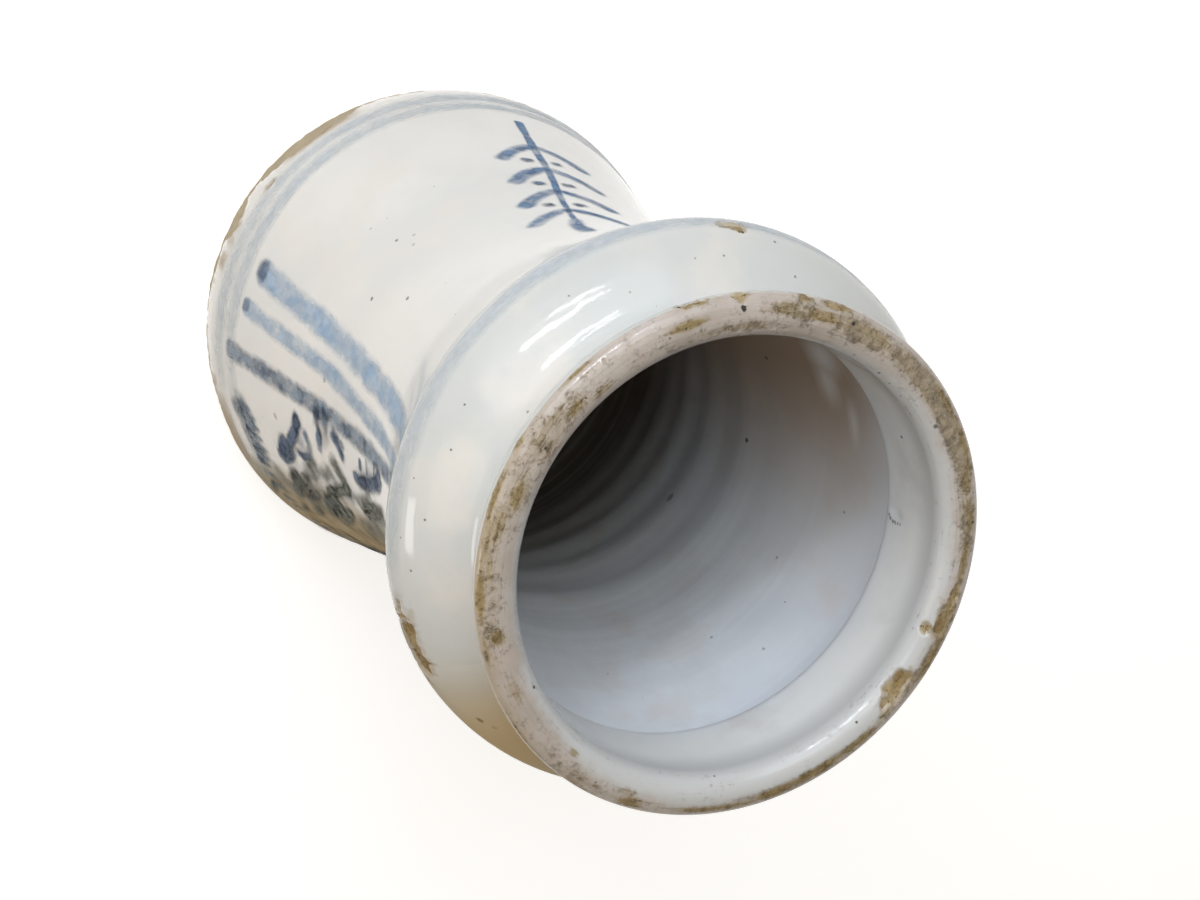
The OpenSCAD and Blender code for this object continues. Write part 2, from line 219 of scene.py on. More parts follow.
# a mesh made into a piece that rides on the root body in place of a node
def meshPiece(node, slot, points, faces, values):
    used, index = np.unique(np.vstack(faces).ravel(), return_inverse=True)
    points = points[used]
    # vertices that fall together, as at the middle of the floor, become one
    _, first, merged = np.unique(np.round(points, 8), axis=0, return_index=True, return_inverse=True)
    corners = [list(dict.fromkeys(face)) for face in merged.ravel()[index].reshape(-1, 4).tolist()]
    mesh = bpy.data.meshes.new(camel(node))
    mesh.from_pydata(points[first].tolist(), [], [face for face in corners if len(face) > 2])
    for label, numbers in values.items():
        kind, field = ("FLOAT", "value") if numbers.ndim == 1 else ("FLOAT_VECTOR", "vector")
        layer = mesh.attributes.new(label, kind, "POINT")
        layer.data.foreach_set(field, numbers[used][first].astype(np.float32).ravel())
    mesh.polygons.foreach_set("use_smooth", np.ones(len(mesh.polygons), bool))
    mesh.set_sharp_from_angle(angle=math.radians(sharpAngle))
    mesh.update()
    mesh.materials.append(finishes[slot])
    piece = bpy.data.objects.new(mesh.name, mesh)
    scene.collection.objects.link(piece)
    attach(piece, "root")
    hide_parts(node)
    print("piece", piece.name, len(mesh.polygons), "faces")


# the four corners of each face in a grid of vertex numbers, which may close on itself
def gridCorners(index, closed):
    beside = np.roll(index, -1, axis=1)
    corners = [index[:-1], beside[:-1], beside[1:], index[1:]]
    return corners if closed else [corner[:, :-1] for corner in corners]


# a closed skin between two lifts over a grid of angles and places, open where it is worn away
def skinPiece(node, slot, angles, places, top, under, values):
    rows, columns = top.shape
    count = rows * columns
    points = [onJar(angles[None, :], places[:, None], lift).reshape(-1, 3) for lift in (top, under)]
    a, b, c, d = gridCorners(np.arange(count).reshape(rows, columns), True)
    thick = (top - under).ravel()
    kept = np.max([thick[a], thick[b], thick[c], thick[d]], axis=0) > glazing["leastThick"]
    gone = ~kept
    blank = np.ones((1, columns), bool)
    edges = [
        (kept & np.vstack([blank, gone[:-1]]), b, a),
        (kept & np.vstack([gone[1:], blank]), d, c),
        (kept & np.roll(gone, -1, axis=1), c, b),
        (kept & np.roll(gone, 1, axis=1), a, d),
    ]
    faces = [np.stack([a, b, c, d], -1)[kept], np.stack([a, d, c, b], -1)[kept] + count]
    faces += [np.stack([p, q, q + count, p + count], -1)[where] for where, p, q in edges]
    doubled = {label: np.tile(numbers.ravel(), 2) for label, numbers in values.items()}
    meshPiece(node, slot, np.vstack(points), faces, doubled)


# places in stretches, each with a start, an end and a step
def steps(*stretches):
    rows = [np.arange(low, high - step / 2, step) for low, high, step in stretches]
    return np.concatenate([*rows, [stretches[-1][1]]])


# marks of wear: angle, place, half length in degrees, half width in millimetres, then depth or strength
# on the lip a place is the distance from its widest ring towards the mouth
wear = {
    "lipChips": [
        (180, 6.0, 5.6, 2.6, 0.6), (-160.5, 5.0, 4.8, 1.8, 0.4), (-163, 7.5, 1.7, 1.4, 0.4),
        (-153.5, 4.0, 3.2, 1.3, 0.5), (-69, 1.1, 3.2, 1.0, 0.25), (-61.5, 0.4, 1.6, 1.6, 0.25),
        (-46.6, 0.6, 1.6, 1.8, 0.2), (-36.6, -0.7, 3.2, 1.6, 0.2),
    ],
    "outsideChips": [
        (59.3, 156.4, 7.4, 3.5, 0.5), (66, 157.2, 2.6, 1.6, 0.35), (69.5, 155.8, 1.4, 1.0, 0.3),
        (-58, 157.4, 3.0, 1.4, 0.2), (-0.5, 17.3, 1.7, 1.0, 0.2), (150, 156.0, 3.2, 1.6, 0.4),
        (-122, 157.0, 2.6, 1.3, 0.4), (-166, 156.4, 1.8, 1.1, 0.3), (118, 20.0, 2.2, 1.5, 0.3),
        (-97, 21.0, 1.6, 1.2, 0.3),
    ],
    # a glazed-over dent at the throat: angle, height, half angle, half width, depth
    "throatDents": [(-140.6, 167.6, 3.0, 2.8, 0.3)],
    # where the glaze stops short of the foot: angle, half length, height that is left bare
    "bareFoot": [
        (-14.5, 11, 15.2), (10.5, 4, 14.4), (58, 12, 14.8), (86, 10, 14.6), (124, 14, 15.4),
        (160, 8, 14.8), (-70, 8, 14.8), (-106, 12, 15.8), (-148, 10, 15.0),
    ],
    "footGlaze": 9.5,
    "footFade": 2.2,
    "whole": -3.0,      # stands for no wear at all
    "blunt": 1.4,       # how steeply stains and rubs fall off at their borders
    "ragged": (0.2, 4.2, 0.09, 1.7),    # strength and length of the coarse and the fine raggedness
    "seed": 11,
    # olive and brown stains in the lip's thin glaze
    "stains": [
        (-9, 0.5, 6, 0.9, 0.9), (-4, 5.0, 4.5, 1.5, 0.95), (-11, 6.2, 5, 1.7, 0.7),
        (2, 3.4, 11, 2.4, 0.5), (8.5, 0.4, 3.4, 1.1, 1.0), (19.5, 0.6, 9, 1.2, 1.0),
        (18, 4.3, 6, 2.2, 0.95), (25, 3.0, 10, 2.4, 0.7), (5, 6.0, 7, 1.7, 0.55),
        (29, 1.5, 12, 1.5, 0.62), (40.5, 1.4, 8, 1.3, 1.25), (34, 2.8, 6, 1.2, 0.7),
        (50, 4.1, 3.0, 1.9, 1.05), (53, 1.6, 5, 1.0, 0.6), (63, 4.0, 6, 1.5, 0.6),
        (86, 6.1, 2.4, 1.1, 0.85), (65.6, 7.9, 1.1, 0.5, 1.0), (75, 1.0, 14, 0.9, 0.7),
        (92, 1.2, 10, 1.0, 0.65), (106, 2.8, 5.5, 2.1, 1.0), (104, 4.6, 4, 1.6, 0.6),
        (127, 2.9, 17, 1.1, 1.1), (142, 3.4, 8, 1.4, 1.2), (153, 3.7, 11, 1.7, 1.15),
        (165, 3.7, 10, 1.8, 1.0), (174, 4.2, 6, 1.7, 0.85), (190, 3.3, 10, 1.5, 0.95),
        (-159, 4.6, 8, 2.4, 0.9), (-146, 4.0, 9, 1.7, 0.95), (-134, 3.4, 9, 1.7, 0.75),
        (-118, 2.5, 10, 1.4, 1.0), (-126, 3.8, 8, 1.9, 0.65), (-105, 2.6, 9, 1.4, 0.7),
        (-80, 3.4, 10, 2.0, 0.5), (-69, 1.2, 5.5, 1.5, 1.15), (-61.5, 0.5, 2.6, 2.3, 1.1),
        (-66, 4.0, 7, 1.7, 0.9), (-56, 3.6, 7, 1.6, 0.65), (-34, 4.0, 6.5, 1.3, 1.1),
        (-46.6, 0.8, 2.6, 2.5, 1.0), (-36.6, -0.6, 4.4, 2.2, 1.1),
    ],
    # the same on the collar, with heights
    "collarStains": [(80.7, 162.0, 1.5, 0.6, 1.2), (83.5, 163.0, 1.9, 0.6, 1.2)],
    # glaze rubbed thin, so that the clay shows through
    "rubs": [
        (-108, 4.0, 38, 3.1, 1.2), (-78, 4.2, 14, 3.2, 1.05), (-60, 3.6, 12, 2.8, 0.65),
        (-135, 4.2, 14, 2.6, 0.9), (-46, 6.8, 26, 1.8, 0.6), (-160, 3.6, 13, 2.2, 0.75),
        (5, 4.0, 30, 4.4, 0.55), (45, 3.0, 26, 3.2, 0.45), (88, 2.8, 22, 3.0, 0.45),
        (150, 3.4, 30, 2.2, 0.85), (190, 3.4, 16, 2.2, 0.85),
    ],
    # dark pits and specks: angle, place, radius in millimetres, darkness
    "pits": [
        (-46.6, 3.3, 0.6, 1.0), (-73.4, 3.4, 0.42, 1.0), (-136, 2.8, 0.4, 0.9), (6.5, 5.0, 0.35, 0.95),
        (-7, 5.0, 0.25, 0.8), (167.5, 7.4, 0.32, 0.9), (65.6, 7.9, 0.35, 0.8), (-108.6, 6.8, 0.5, 0.75),
        (-92, 9.4, 0.25, 0.5), (-87.5, 9.2, 0.35, 0.6), (-97, 9.5, 0.22, 0.5), (-78.5, 8.9, 0.25, 0.5),
        (-33, 4.4, 0.3, 0.6), (-29, 4.8, 0.25, 0.6), (95.5, 3.9, 0.22, 0.7), (127.6, 9.6, 0.22, 0.7),
    ],
    "rubRough": 0.18,
    # painted highlights inside, glints on the glaze: angle, height, half angle, half width, strength
    "paleRuns": [(-109, 138.2, 9, 5.2, 0.55), (-117, 137.0, 9, 3.4, 0.5), (-128, 141.3, 8.5, 1.2, 0.5)],
}


# the same list with each place turned into a distance along the line
def placed(patches, toLine):
    return [(a, float(toLine(spot)), *rest) for a, spot, *rest in patches]


# 1 at a patch's middle, 0 at its border and below 0 outside
def within(patch, angles, places):
    turn = (angles - patch[0] + 180) % 360 - 180
    return 1 - np.hypot(turn[None, :] / patch[2], (places[:, None] - patch[1]) / patch[3])


# the strongest of some patches at each point, with a blunt or a soft border
def strongest(patches, angles, places, soft=None):
    amount = np.zeros((len(places), len(angles)))
    for patch in patches:
        inside = within(patch, angles, places)
        faded = smoothStep(*soft, inside) if soft else np.clip(wear["blunt"] * inside, 0, 1)
        amount = np.maximum(amount, patch[4] * faded)
    return amount


# worn is above 0 where the glaze is gone, and deep is how far the clay is broken there
def wornAt(angles, places):
    points = onJar(angles[None, :], places[:, None])
    coarse, coarseLength, fine, fineLength = wear["ragged"]
    ragged = coarse * waveNoise(points, coarseLength, wear["seed"])
    ragged += fine * waveNoise(points, fineLength, wear["seed"] + 1)
    worn = np.full(ragged.shape, wear["whole"])
    deep = np.zeros(ragged.shape)
    for patch in placed(wear["lipChips"], lipAt) + placed(wear["outsideChips"], outsideAt):
        near = np.abs(places - patch[1]) < 4 * patch[3]
        inside = within(patch, angles, places[near])
        worn[near] = np.maximum(worn[near], inside)
        deep[near] = np.maximum(deep[near], patch[4] * smoothStep(0.3, 1.0, inside + ragged[near]))
    footGlaze = wear["footGlaze"]
    edge = np.full(len(angles), footGlaze)
    for middle, halfAngle, bare in wear["bareFoot"]:
        turn = np.abs((angles - middle + 180) % 360 - 180) / halfAngle
        edge = np.maximum(edge, footGlaze + (bare - footGlaze) * np.sqrt(np.clip(1.3 - turn, 0, 1)))
    bareFoot = (outsideAt(edge)[None, :] - places[:, None]) / wear["footFade"]
    bareFoot[places > marks["upperWall"]] = wear["whole"]
    return np.maximum(worn, bareFoot) + ragged, deep


print("jar line ready:", len(linePoints), "points,", round(lineAlong[-1]), "mm long")

# node helpers, which find their tree through the sockets that they are given

def tone(red, green, blue):
    parts = [c / 255 for c in (red, green, blue)]
    return (*[c / 12.92 if c < 0.04045 else ((c + 0.055) / 1.055) ** 2.4 for c in parts], 1.0)


def addNode(tree, kind, inputs=None, **settings):
    node = tree.nodes.new(kind)
    for key, value in settings.items():
        setattr(node, key, value)
    for key, value in (inputs or {}).items():
        if isinstance(value, bpy.types.NodeSocket):
            tree.links.new(value, node.inputs[key])
        else:
            node.inputs[key].default_value = value
    return node


def treeOf(*values):
    return next(value.id_data for value in values if isinstance(value, bpy.types.NodeSocket))


def maths(kind, a, b=0.0):
    return addNode(treeOf(a, b), "ShaderNodeMath", {0: a, 1: b}, operation=kind).outputs[0]


def chain(kind, values):
    total = values[0]
    for value in values[1:]:
        total = maths(kind, total, value)
    return total


def times(*values):
    return chain("MULTIPLY", values)


def plus(*values):
    return chain("ADD", values)


def most(*values):
    return chain("MAXIMUM", values)


def minus(a, b):
    return maths("SUBTRACT", a, b)


def blend(share, a, b):
    inputs = {0: share, 6: a, 7: b}
    return addNode(treeOf(share, a, b), "ShaderNodeMix", inputs, data_type="RGBA").outputs[2]


def ramp(value, low, high, start=0.0, end=1.0):
    inputs = {"Value": value, "From Min": low, "From Max": high, "To Min": start, "To Max": end}
    node = addNode(treeOf(value), "ShaderNodeMapRange", inputs, interpolation_type="SMOOTHSTEP")
    return node.outputs[0]


def noise(where, scale, detail=3.0, rough=0.55):
    inputs = {"Vector": where, "Scale": scale, "Detail": detail, "Roughness": rough}
    return addNode(treeOf(where), "ShaderNodeTexNoise", inputs).outputs[0]


def cells(where, scale):
    return addNode(treeOf(where), "ShaderNodeTexVoronoi", {"Vector": where, "Scale": scale}).outputs


def place(tree, shift=(0, 0, 0), stretch=(1, 1, 1)):
    own = addNode(tree, "ShaderNodeTexCoord").outputs["Object"]
    inputs = {"Vector": own, "Location": shift, "Scale": stretch}
    return addNode(tree, "ShaderNodeMapping", inputs).outputs[0]


# x, y and z of the place, in metres
def axes(tree):
    return addNode(tree, "ShaderNodeSeparateXYZ", {0: place(tree)}).outputs


# noise about 0
def mottle(tree, shift, *settings):
    return minus(noise(place(tree, shift), *settings), 0.5)


def attribute(tree, name, output="Fac"):
    return addNode(tree, "ShaderNodeAttribute", None, attribute_name=name).outputs[output]


# links sockets to inputs by name
def feed(inputs, **sockets):
    for label, socket in sockets.items():
        treeOf(socket).links.new(socket, inputs[label.replace("_", " ")])


def newGroup(name, inputs, *outputs):
    group = bpy.data.node_groups.new(name, "ShaderNodeTree")
    kinds = {1: "NodeSocketFloat", 3: "NodeSocketVector", 4: "NodeSocketColor"}
    for label, value in inputs.items():
        kind = kinds[np.size(value)]
        group.interface.new_socket(label, in_out="INPUT", socket_type=kind).default_value = value
    for label in outputs:
        kind = "NodeSocketColor" if label == "Color" else "NodeSocketFloat"
        group.interface.new_socket(label, in_out="OUTPUT", socket_type=kind)
    return group, group.nodes.new("NodeGroupInput").outputs, group.nodes.new("NodeGroupOutput").inputs


def useGroup(tree, group, inputs=None):
    return addNode(tree, "ShaderNodeGroup", inputs, node_tree=group).outputs


# shared effects

# milky glaze with soft clouds and warmer blushes
def makeTinGlaze():
    group, given, out = newGroup("tinGlaze", {
        "Milk": tone(225, 222, 214), "Shade": tone(205, 206, 203), "Blush": tone(226, 214, 201),
        "Cloud Scale": 26.0, "Shade Share": 0.6, "Blush Share": 0.5}, "Color")
    clouds = ramp(noise(place(group), given["Cloud Scale"], 4.0), 0.38, 0.68)
    blushes = noise(place(group, (3.1, 1.7, 0.4)), times(given["Cloud Scale"], 1.9), 5.0)
    shaded = blend(times(clouds, given["Shade Share"]), given["Milk"], given["Shade"])
    blushShare = times(ramp(blushes, 0.48, 0.72), given["Blush Share"])
    feed(out, Color=blend(blushShare, shaded, given["Blush"]))
    return group


# small dark burst bubbles, one to a cell, in a share of the cells
def makePinholes():
    group, given, out = newGroup("glazePinholes", {"Scale": 160.0, "Share": 0.2, "Radius": 0.07}, "Mask")
    bubbles = cells(place(group), given["Scale"])
    parts = addNode(group, "ShaderNodeSeparateColor", {0: bubbles["Color"]}).outputs
    chosen = maths("LESS_THAN", parts[0], given["Share"])
    size = times(given["Radius"], plus(parts[1], 0.35))
    feed(out, Mask=times(ramp(maths("DIVIDE", bubbles["Distance"], size), 1.0, 0.55), chosen))
    return group


# the slight waviness of a dipped and fired skin
def makeGlazeSkin():
    group, given, out = newGroup("glazeSkin", {"Wave": 0.7, "Peel": 0.12}, "Height")
    wave = times(noise(place(group), 120.0, 2.0), given["Wave"])
    peel = times(noise(place(group), 1500.0, 2.0), given["Peel"])
    feed(out, Height=plus(wave, peel))
    return group


# bare fired clay: buff to brown, with grit and open pores
def makeClayGrain():
    group, given, out = newGroup("clayGrain", {
        "Buff": tone(186, 165, 128), "Earth": tone(146, 120, 76), "Soot": tone(92, 76, 52), "Dirt": 0.5},
        "Color", "Height")
    broad = ramp(noise(place(group), 210.0, 4.0, 0.6), 0.36, 0.66)
    grit = noise(place(group, (0.7, 2.2, 5.1)), 1500.0, 3.0, 0.65)
    pore = ramp(cells(place(group), 1100.0)["Distance"], 0.32, 0.1)
    earthy = blend(broad, given["Buff"], given["Earth"])
    sooted = blend(times(ramp(grit, 0.5, 0.72), given["Dirt"]), earthy, given["Soot"])
    feed(out, Color=blend(times(pore, 0.45), sooted, given["Soot"]), Height=minus(grit, times(pore, 0.5)))
    return group


# how much pigment a brush left: brush holds millimetres along, across and a number for the stroke
def makeBrushLoad():
    group, given, out = newGroup("brushLoad", {
        "Brush": (0.0, 0.0, 0.0), "Rim": 1.0, "Soft": 0.3, "Ragged": 0.3, "Streak": 0.4, "Gaps": 0.2},
        "Cover", "Clot")
    stretch = {0: given["Brush"], 1: (0.12, 0.6, 9.0)}
    bristles = addNode(group, "ShaderNodeVectorMath", stretch, operation="MULTIPLY").outputs[0]
    rag = times(minus(noise(given["Brush"], 0.55), 0.42), given["Ragged"])
    rim = minus(given["Rim"], most(rag, 0.0))
    covered = ramp(maths("DIVIDE", rim, given["Soft"]), 0.05, 1.0)
    dry = times(ramp(noise(bristles, 1.0, 2.0), 0.42, 0.72), given["Streak"])
    pale = ramp(noise(place(group, (4.2, 0.6, 1.9)), 300.0, 3.0, 0.5), 0.42, 0.68)
    body = times(minus(1.0, dry), minus(1.0, times(pale, given["Gaps"])))
    # the wash pools and thins over some millimetres
    pool = ramp(noise(given["Brush"], 0.17, 2.0), 0.36, 0.62, 0.7, 1.0)
    clots = noise(place(group, (0.9, 3.7, 2.2)), 300.0, 4.0, 0.5)
    feed(out, Cover=times(covered, body, pool), Clot=ramp(clots, 0.38, 0.66))
    return group


# a soft mask round the jar, 1 at the middle angle and 0 from the reach on
def makeTurnMask():
    group, given, out = newGroup("turnMask", {"Middle": 0.0, "Reach": 40.0}, "Mask")
    parts = axes(group)
    angle = maths("ARCTAN2", parts[0], times(parts[1], -1.0))
    gap = minus(maths("DEGREES", angle), given["Middle"])
    wrapped = addNode(group, "ShaderNodeMath", {0: gap, 1: 180.0, 2: -180.0}, operation="WRAP").outputs[0]
    feed(out, Mask=ramp(maths("DIVIDE", maths("ABSOLUTE", wrapped), given["Reach"]), 1.0, 0.1))
    return group


# one dark fleck at a given place
def makeFleck():
    group, given, out = newGroup("fleck", {"Place": (0.0, 0.0, 0.0), "Radius": 0.0005}, "Mask")
    ends = {0: place(group), 1: given["Place"]}
    away = addNode(group, "ShaderNodeVectorMath", ends, operation="DISTANCE").outputs["Value"]
    ragged = times(noise(place(group), 2200.0, 1.0), 1.1)
    feed(out, Mask=ramp(plus(maths("DIVIDE", away, given["Radius"]), ragged), 1.7, 1.2))
    return group


tinGlaze = makeTinGlaze()
pinholes = makePinholes()
glazeSkin = makeGlazeSkin()
clayGrain = makeClayGrain()
brushLoad = makeBrushLoad()
turnMask = makeTurnMask()
fleck = makeFleck()
print("shared effects:", len(bpy.data.node_groups), "node groups")

# finishes

def newFinish(name, **plain):
    finish = bpy.data.materials.new(name)
    finish.use_nodes = True
    shader = finish.node_tree.nodes["Principled BSDF"]
    for label, value in plain.items():
        shader.inputs[label.replace("_", " ")].default_value = value
    return finish, finish.node_tree, shader


def relief(shader, height, strength, distance):
    settings = {"Height": height, "Strength": strength, "Distance": distance}
    feed(shader.inputs, Normal=addNode(treeOf(height), "ShaderNodeBump", settings).outputs[0])


# a mask from a middle angle and a reach
def around(tree, turn):
    return useGroup(tree, turnMask, {"Middle": turn[0], "Reach": turn[1]})["Mask"]


def twoPinholes(tree, look):
    return [useGroup(tree, pinholes, look[size])["Mask"] for size in ("small", "large")]


# glaze flecks that show: angle, place along the line, radius in millimetres, darkness
def flecked(colour, flecks, dark):
    for angle, s, radius, share in flecks:
        tree = treeOf(colour)
        spot = useGroup(tree, fleck, {"Place": tuple(onJar(angle, s)), "Radius": radius * mm})["Mask"]
        colour = blend(times(spot, share), colour, dark)
    return colour


# clay shows through where the glaze thins out towards a chip
def thinned(colour, low, share):
    tree = treeOf(colour)
    thin = ramp(attribute(tree, "worn"), low, 1.0)
    return blend(times(thin, share), colour, useGroup(tree, clayGrain)["Color"])


# in the finishes a turn is a middle angle with a reach, and a z is two heights in metres to fade between

def makeClayFinish():
    look = {
        "grain": {"Buff": tone(180, 160, 122), "Earth": tone(138, 116, 76), "Soot": tone(84, 72, 50),
                  "Dirt": 0.45},
        "fresh": tone(168, 136, 82), "freshDepth": (0.25, 0.9), "freshShare": 0.55,    # in a broken chip
        "tan": tone(202, 187, 160), "tanZ": (0.06, 0.02), "tanShare": 0.75,            # over the foot
    }
    finish, tree, shader = newFinish("firedClay", Roughness=0.88, Specular_IOR_Level=0.3)
    grain = useGroup(tree, clayGrain, look["grain"])
    footed = times(ramp(axes(tree)[2], *look["tanZ"]), look["tanShare"])
    broken = times(ramp(attribute(tree, "deep"), *look["freshDepth"]), look["freshShare"])
    colour = blend(footed, grain["Color"], look["tan"])
    feed(shader.inputs, Base_Color=blend(broken, colour, look["fresh"]))
    relief(shader, grain["Height"], 0.6, 0.0004)
    return finish


def makeOutsideFinish():
    look = {
        "body": tone(236, 232, 225), "collar": tone(210, 211, 207), "collarZ": (0.150, 0.156),
        "glaze": {"Shade": tone(220, 219, 214), "Blush": tone(236, 226, 214)},
        # a painted brown reflection with painted shade down one side, paler on the collar
        "tan": tone(178, 158, 118), "tanDark": tone(136, 112, 70), "paintedReflectionTurn": (91.0, 33.0),
        "collarPaintedReflection": tone(206, 184, 142), "collarPaintedReflectionZ": (0.125, 0.15),
        # paint smeared behind the leaves, and painted shade over that side
        "smearAndShade": tone(142, 145, 132), "smearAndShadeTurn": (80.0, 32.0), "smearAndShadeZ": (0.132, 0.122),
        # dirt where the glaze ends at the foot
        "footTan": tone(180, 160, 128), "footTanShare": 0.8,
        "footTanTurn": (62.0, 15.0), "footTanZ": (0.0235, 0.018),
        "edgeTanTurn": (-17.0, 15.0), "edgeTanZ": (0.0182, 0.0158),
        "pinhole": tone(84, 80, 70), "iron": tone(122, 108, 74), "olive": tone(140, 116, 66),
        "small": {"Scale": 260.0, "Share": 0.2, "Radius": 0.06},
        "large": {"Scale": 75.0, "Share": 0.12, "Radius": 0.022},
        "skin": {"Wave": 0.3, "Peel": 0.055},
        "rough": (0.07, 0.95),    # clean, and under the painted reflection and the foot's dirt
        "flecks": [
            (0, 94, 0.5, 0.8), (6, 81, 0.5, 0.85), (-10, 73, 0.45, 0.75), (-12, 79, 0.5, 0.35),
            (-14, 76, 0.5, 0.3), (50, 48, 0.9, 0.5), (32, 74, 0.7, 0.55), (-8, 62, 0.4, 0.3),
            (3, 170, 0.3, 0.6), (-20, 163, 0.25, 0.6), (9, 163, 0.24, 0.8), (18, 164, 0.26, 0.8),
            (26, 160, 0.22, 0.8), (33, 163, 0.26, 0.8), (38, 159, 0.22, 0.7), (44, 161, 0.26, 0.8),
            (-47, 164, 0.25, 0.6), (-31, 166, 0.25, 0.5), (-66, 160, 0.3, 0.8), (-70, 165, 0.3, 0.7),
        ],
    }
    finish, tree, shader = newFinish("outsideGlaze", Specular_IOR_Level=0.35)
    high = axes(tree)[2]
    # the collar's greyer colour is painted shade, for the collar faces the lamps more than the body
    milk = blend(ramp(high, *look["collarZ"]), look["body"], look["collar"])
    glaze = useGroup(tree, tinGlaze, {"Milk": milk, **look["glaze"]})["Color"]
    # a grey-green smear that is also painted shade on the leaves' side
    smearedShade = ramp(noise(place(tree, (0.6, 1.9, 2.8)), 115.0, 4.0, 0.6), 0.38, 0.62, 0.0, 0.75)
    smearedShade = times(smearedShade, ramp(high, *look["smearAndShadeZ"]))
    colour = blend(times(around(tree, look["smearAndShadeTurn"]), smearedShade), glaze, look["smearAndShade"])
    # painted brown reflection and shade down one side, in spotty patches
    patchy = ramp(noise(place(tree, (0.3, 0.8, 0.1)), 60.0, 4.0), 0.25, 0.7, 0.86, 1.0)
    paintedReflection = times(around(tree, look["paintedReflectionTurn"]), patchy)
    spotty = ramp(noise(place(tree, (2.3, 0.4, 1.8)), 130.0, 5.0, 0.65), 0.4, 0.66)
    tan = blend(spotty, look["tan"], look["tanDark"])
    tan = blend(ramp(high, *look["collarPaintedReflectionZ"]), tan, look["collarPaintedReflection"])
    colour = blend(paintedReflection, colour, tan)
    low = ramp(high, *look["edgeTanZ"])
    edged = times(around(tree, look["edgeTanTurn"]), low)
    blotched = times(ramp(noise(place(tree, (1.6, 0.2, 0.9)), 75.0, 4.0), 0.5, 0.66), low)
    dirty = times(around(tree, look["footTanTurn"]), ramp(high, *look["footTanZ"]))
    dirty = most(dirty, blotched, edged)
    colour = blend(times(dirty, look["footTanShare"]), colour, look["footTan"])
    small, large = twoPinholes(tree, look)
    colour = blend(times(small, 0.7), colour, look["pinhole"])
    colour = blend(times(large, 0.75), colour, look["iron"])
    colour = flecked(colour, placed(look["flecks"], outsideAt), look["pinhole"])
    grainy = mottle(tree, (1.3, 0.2, 2.4), 800.0, 5.0, 0.7)
    stained = ramp(plus(attribute(tree, "stain"), grainy), 0.25, 0.8)
    colour = blend(times(stained, 0.9), colour, look["olive"])
    # the glaze is rough under the painted brown reflection and the dirt at the foot
    rough = ramp(most(paintedReflection, dirty), 0.0, 0.5, *look["rough"])
    feed(shader.inputs, Base_Color=thinned(colour, 0.2, 0.75), Roughness=rough)
    skin = useGroup(tree, glazeSkin, look["skin"])["Height"]
    relief(shader, minus(skin, most(small, large)), 0.4, 0.0005)
    return finish


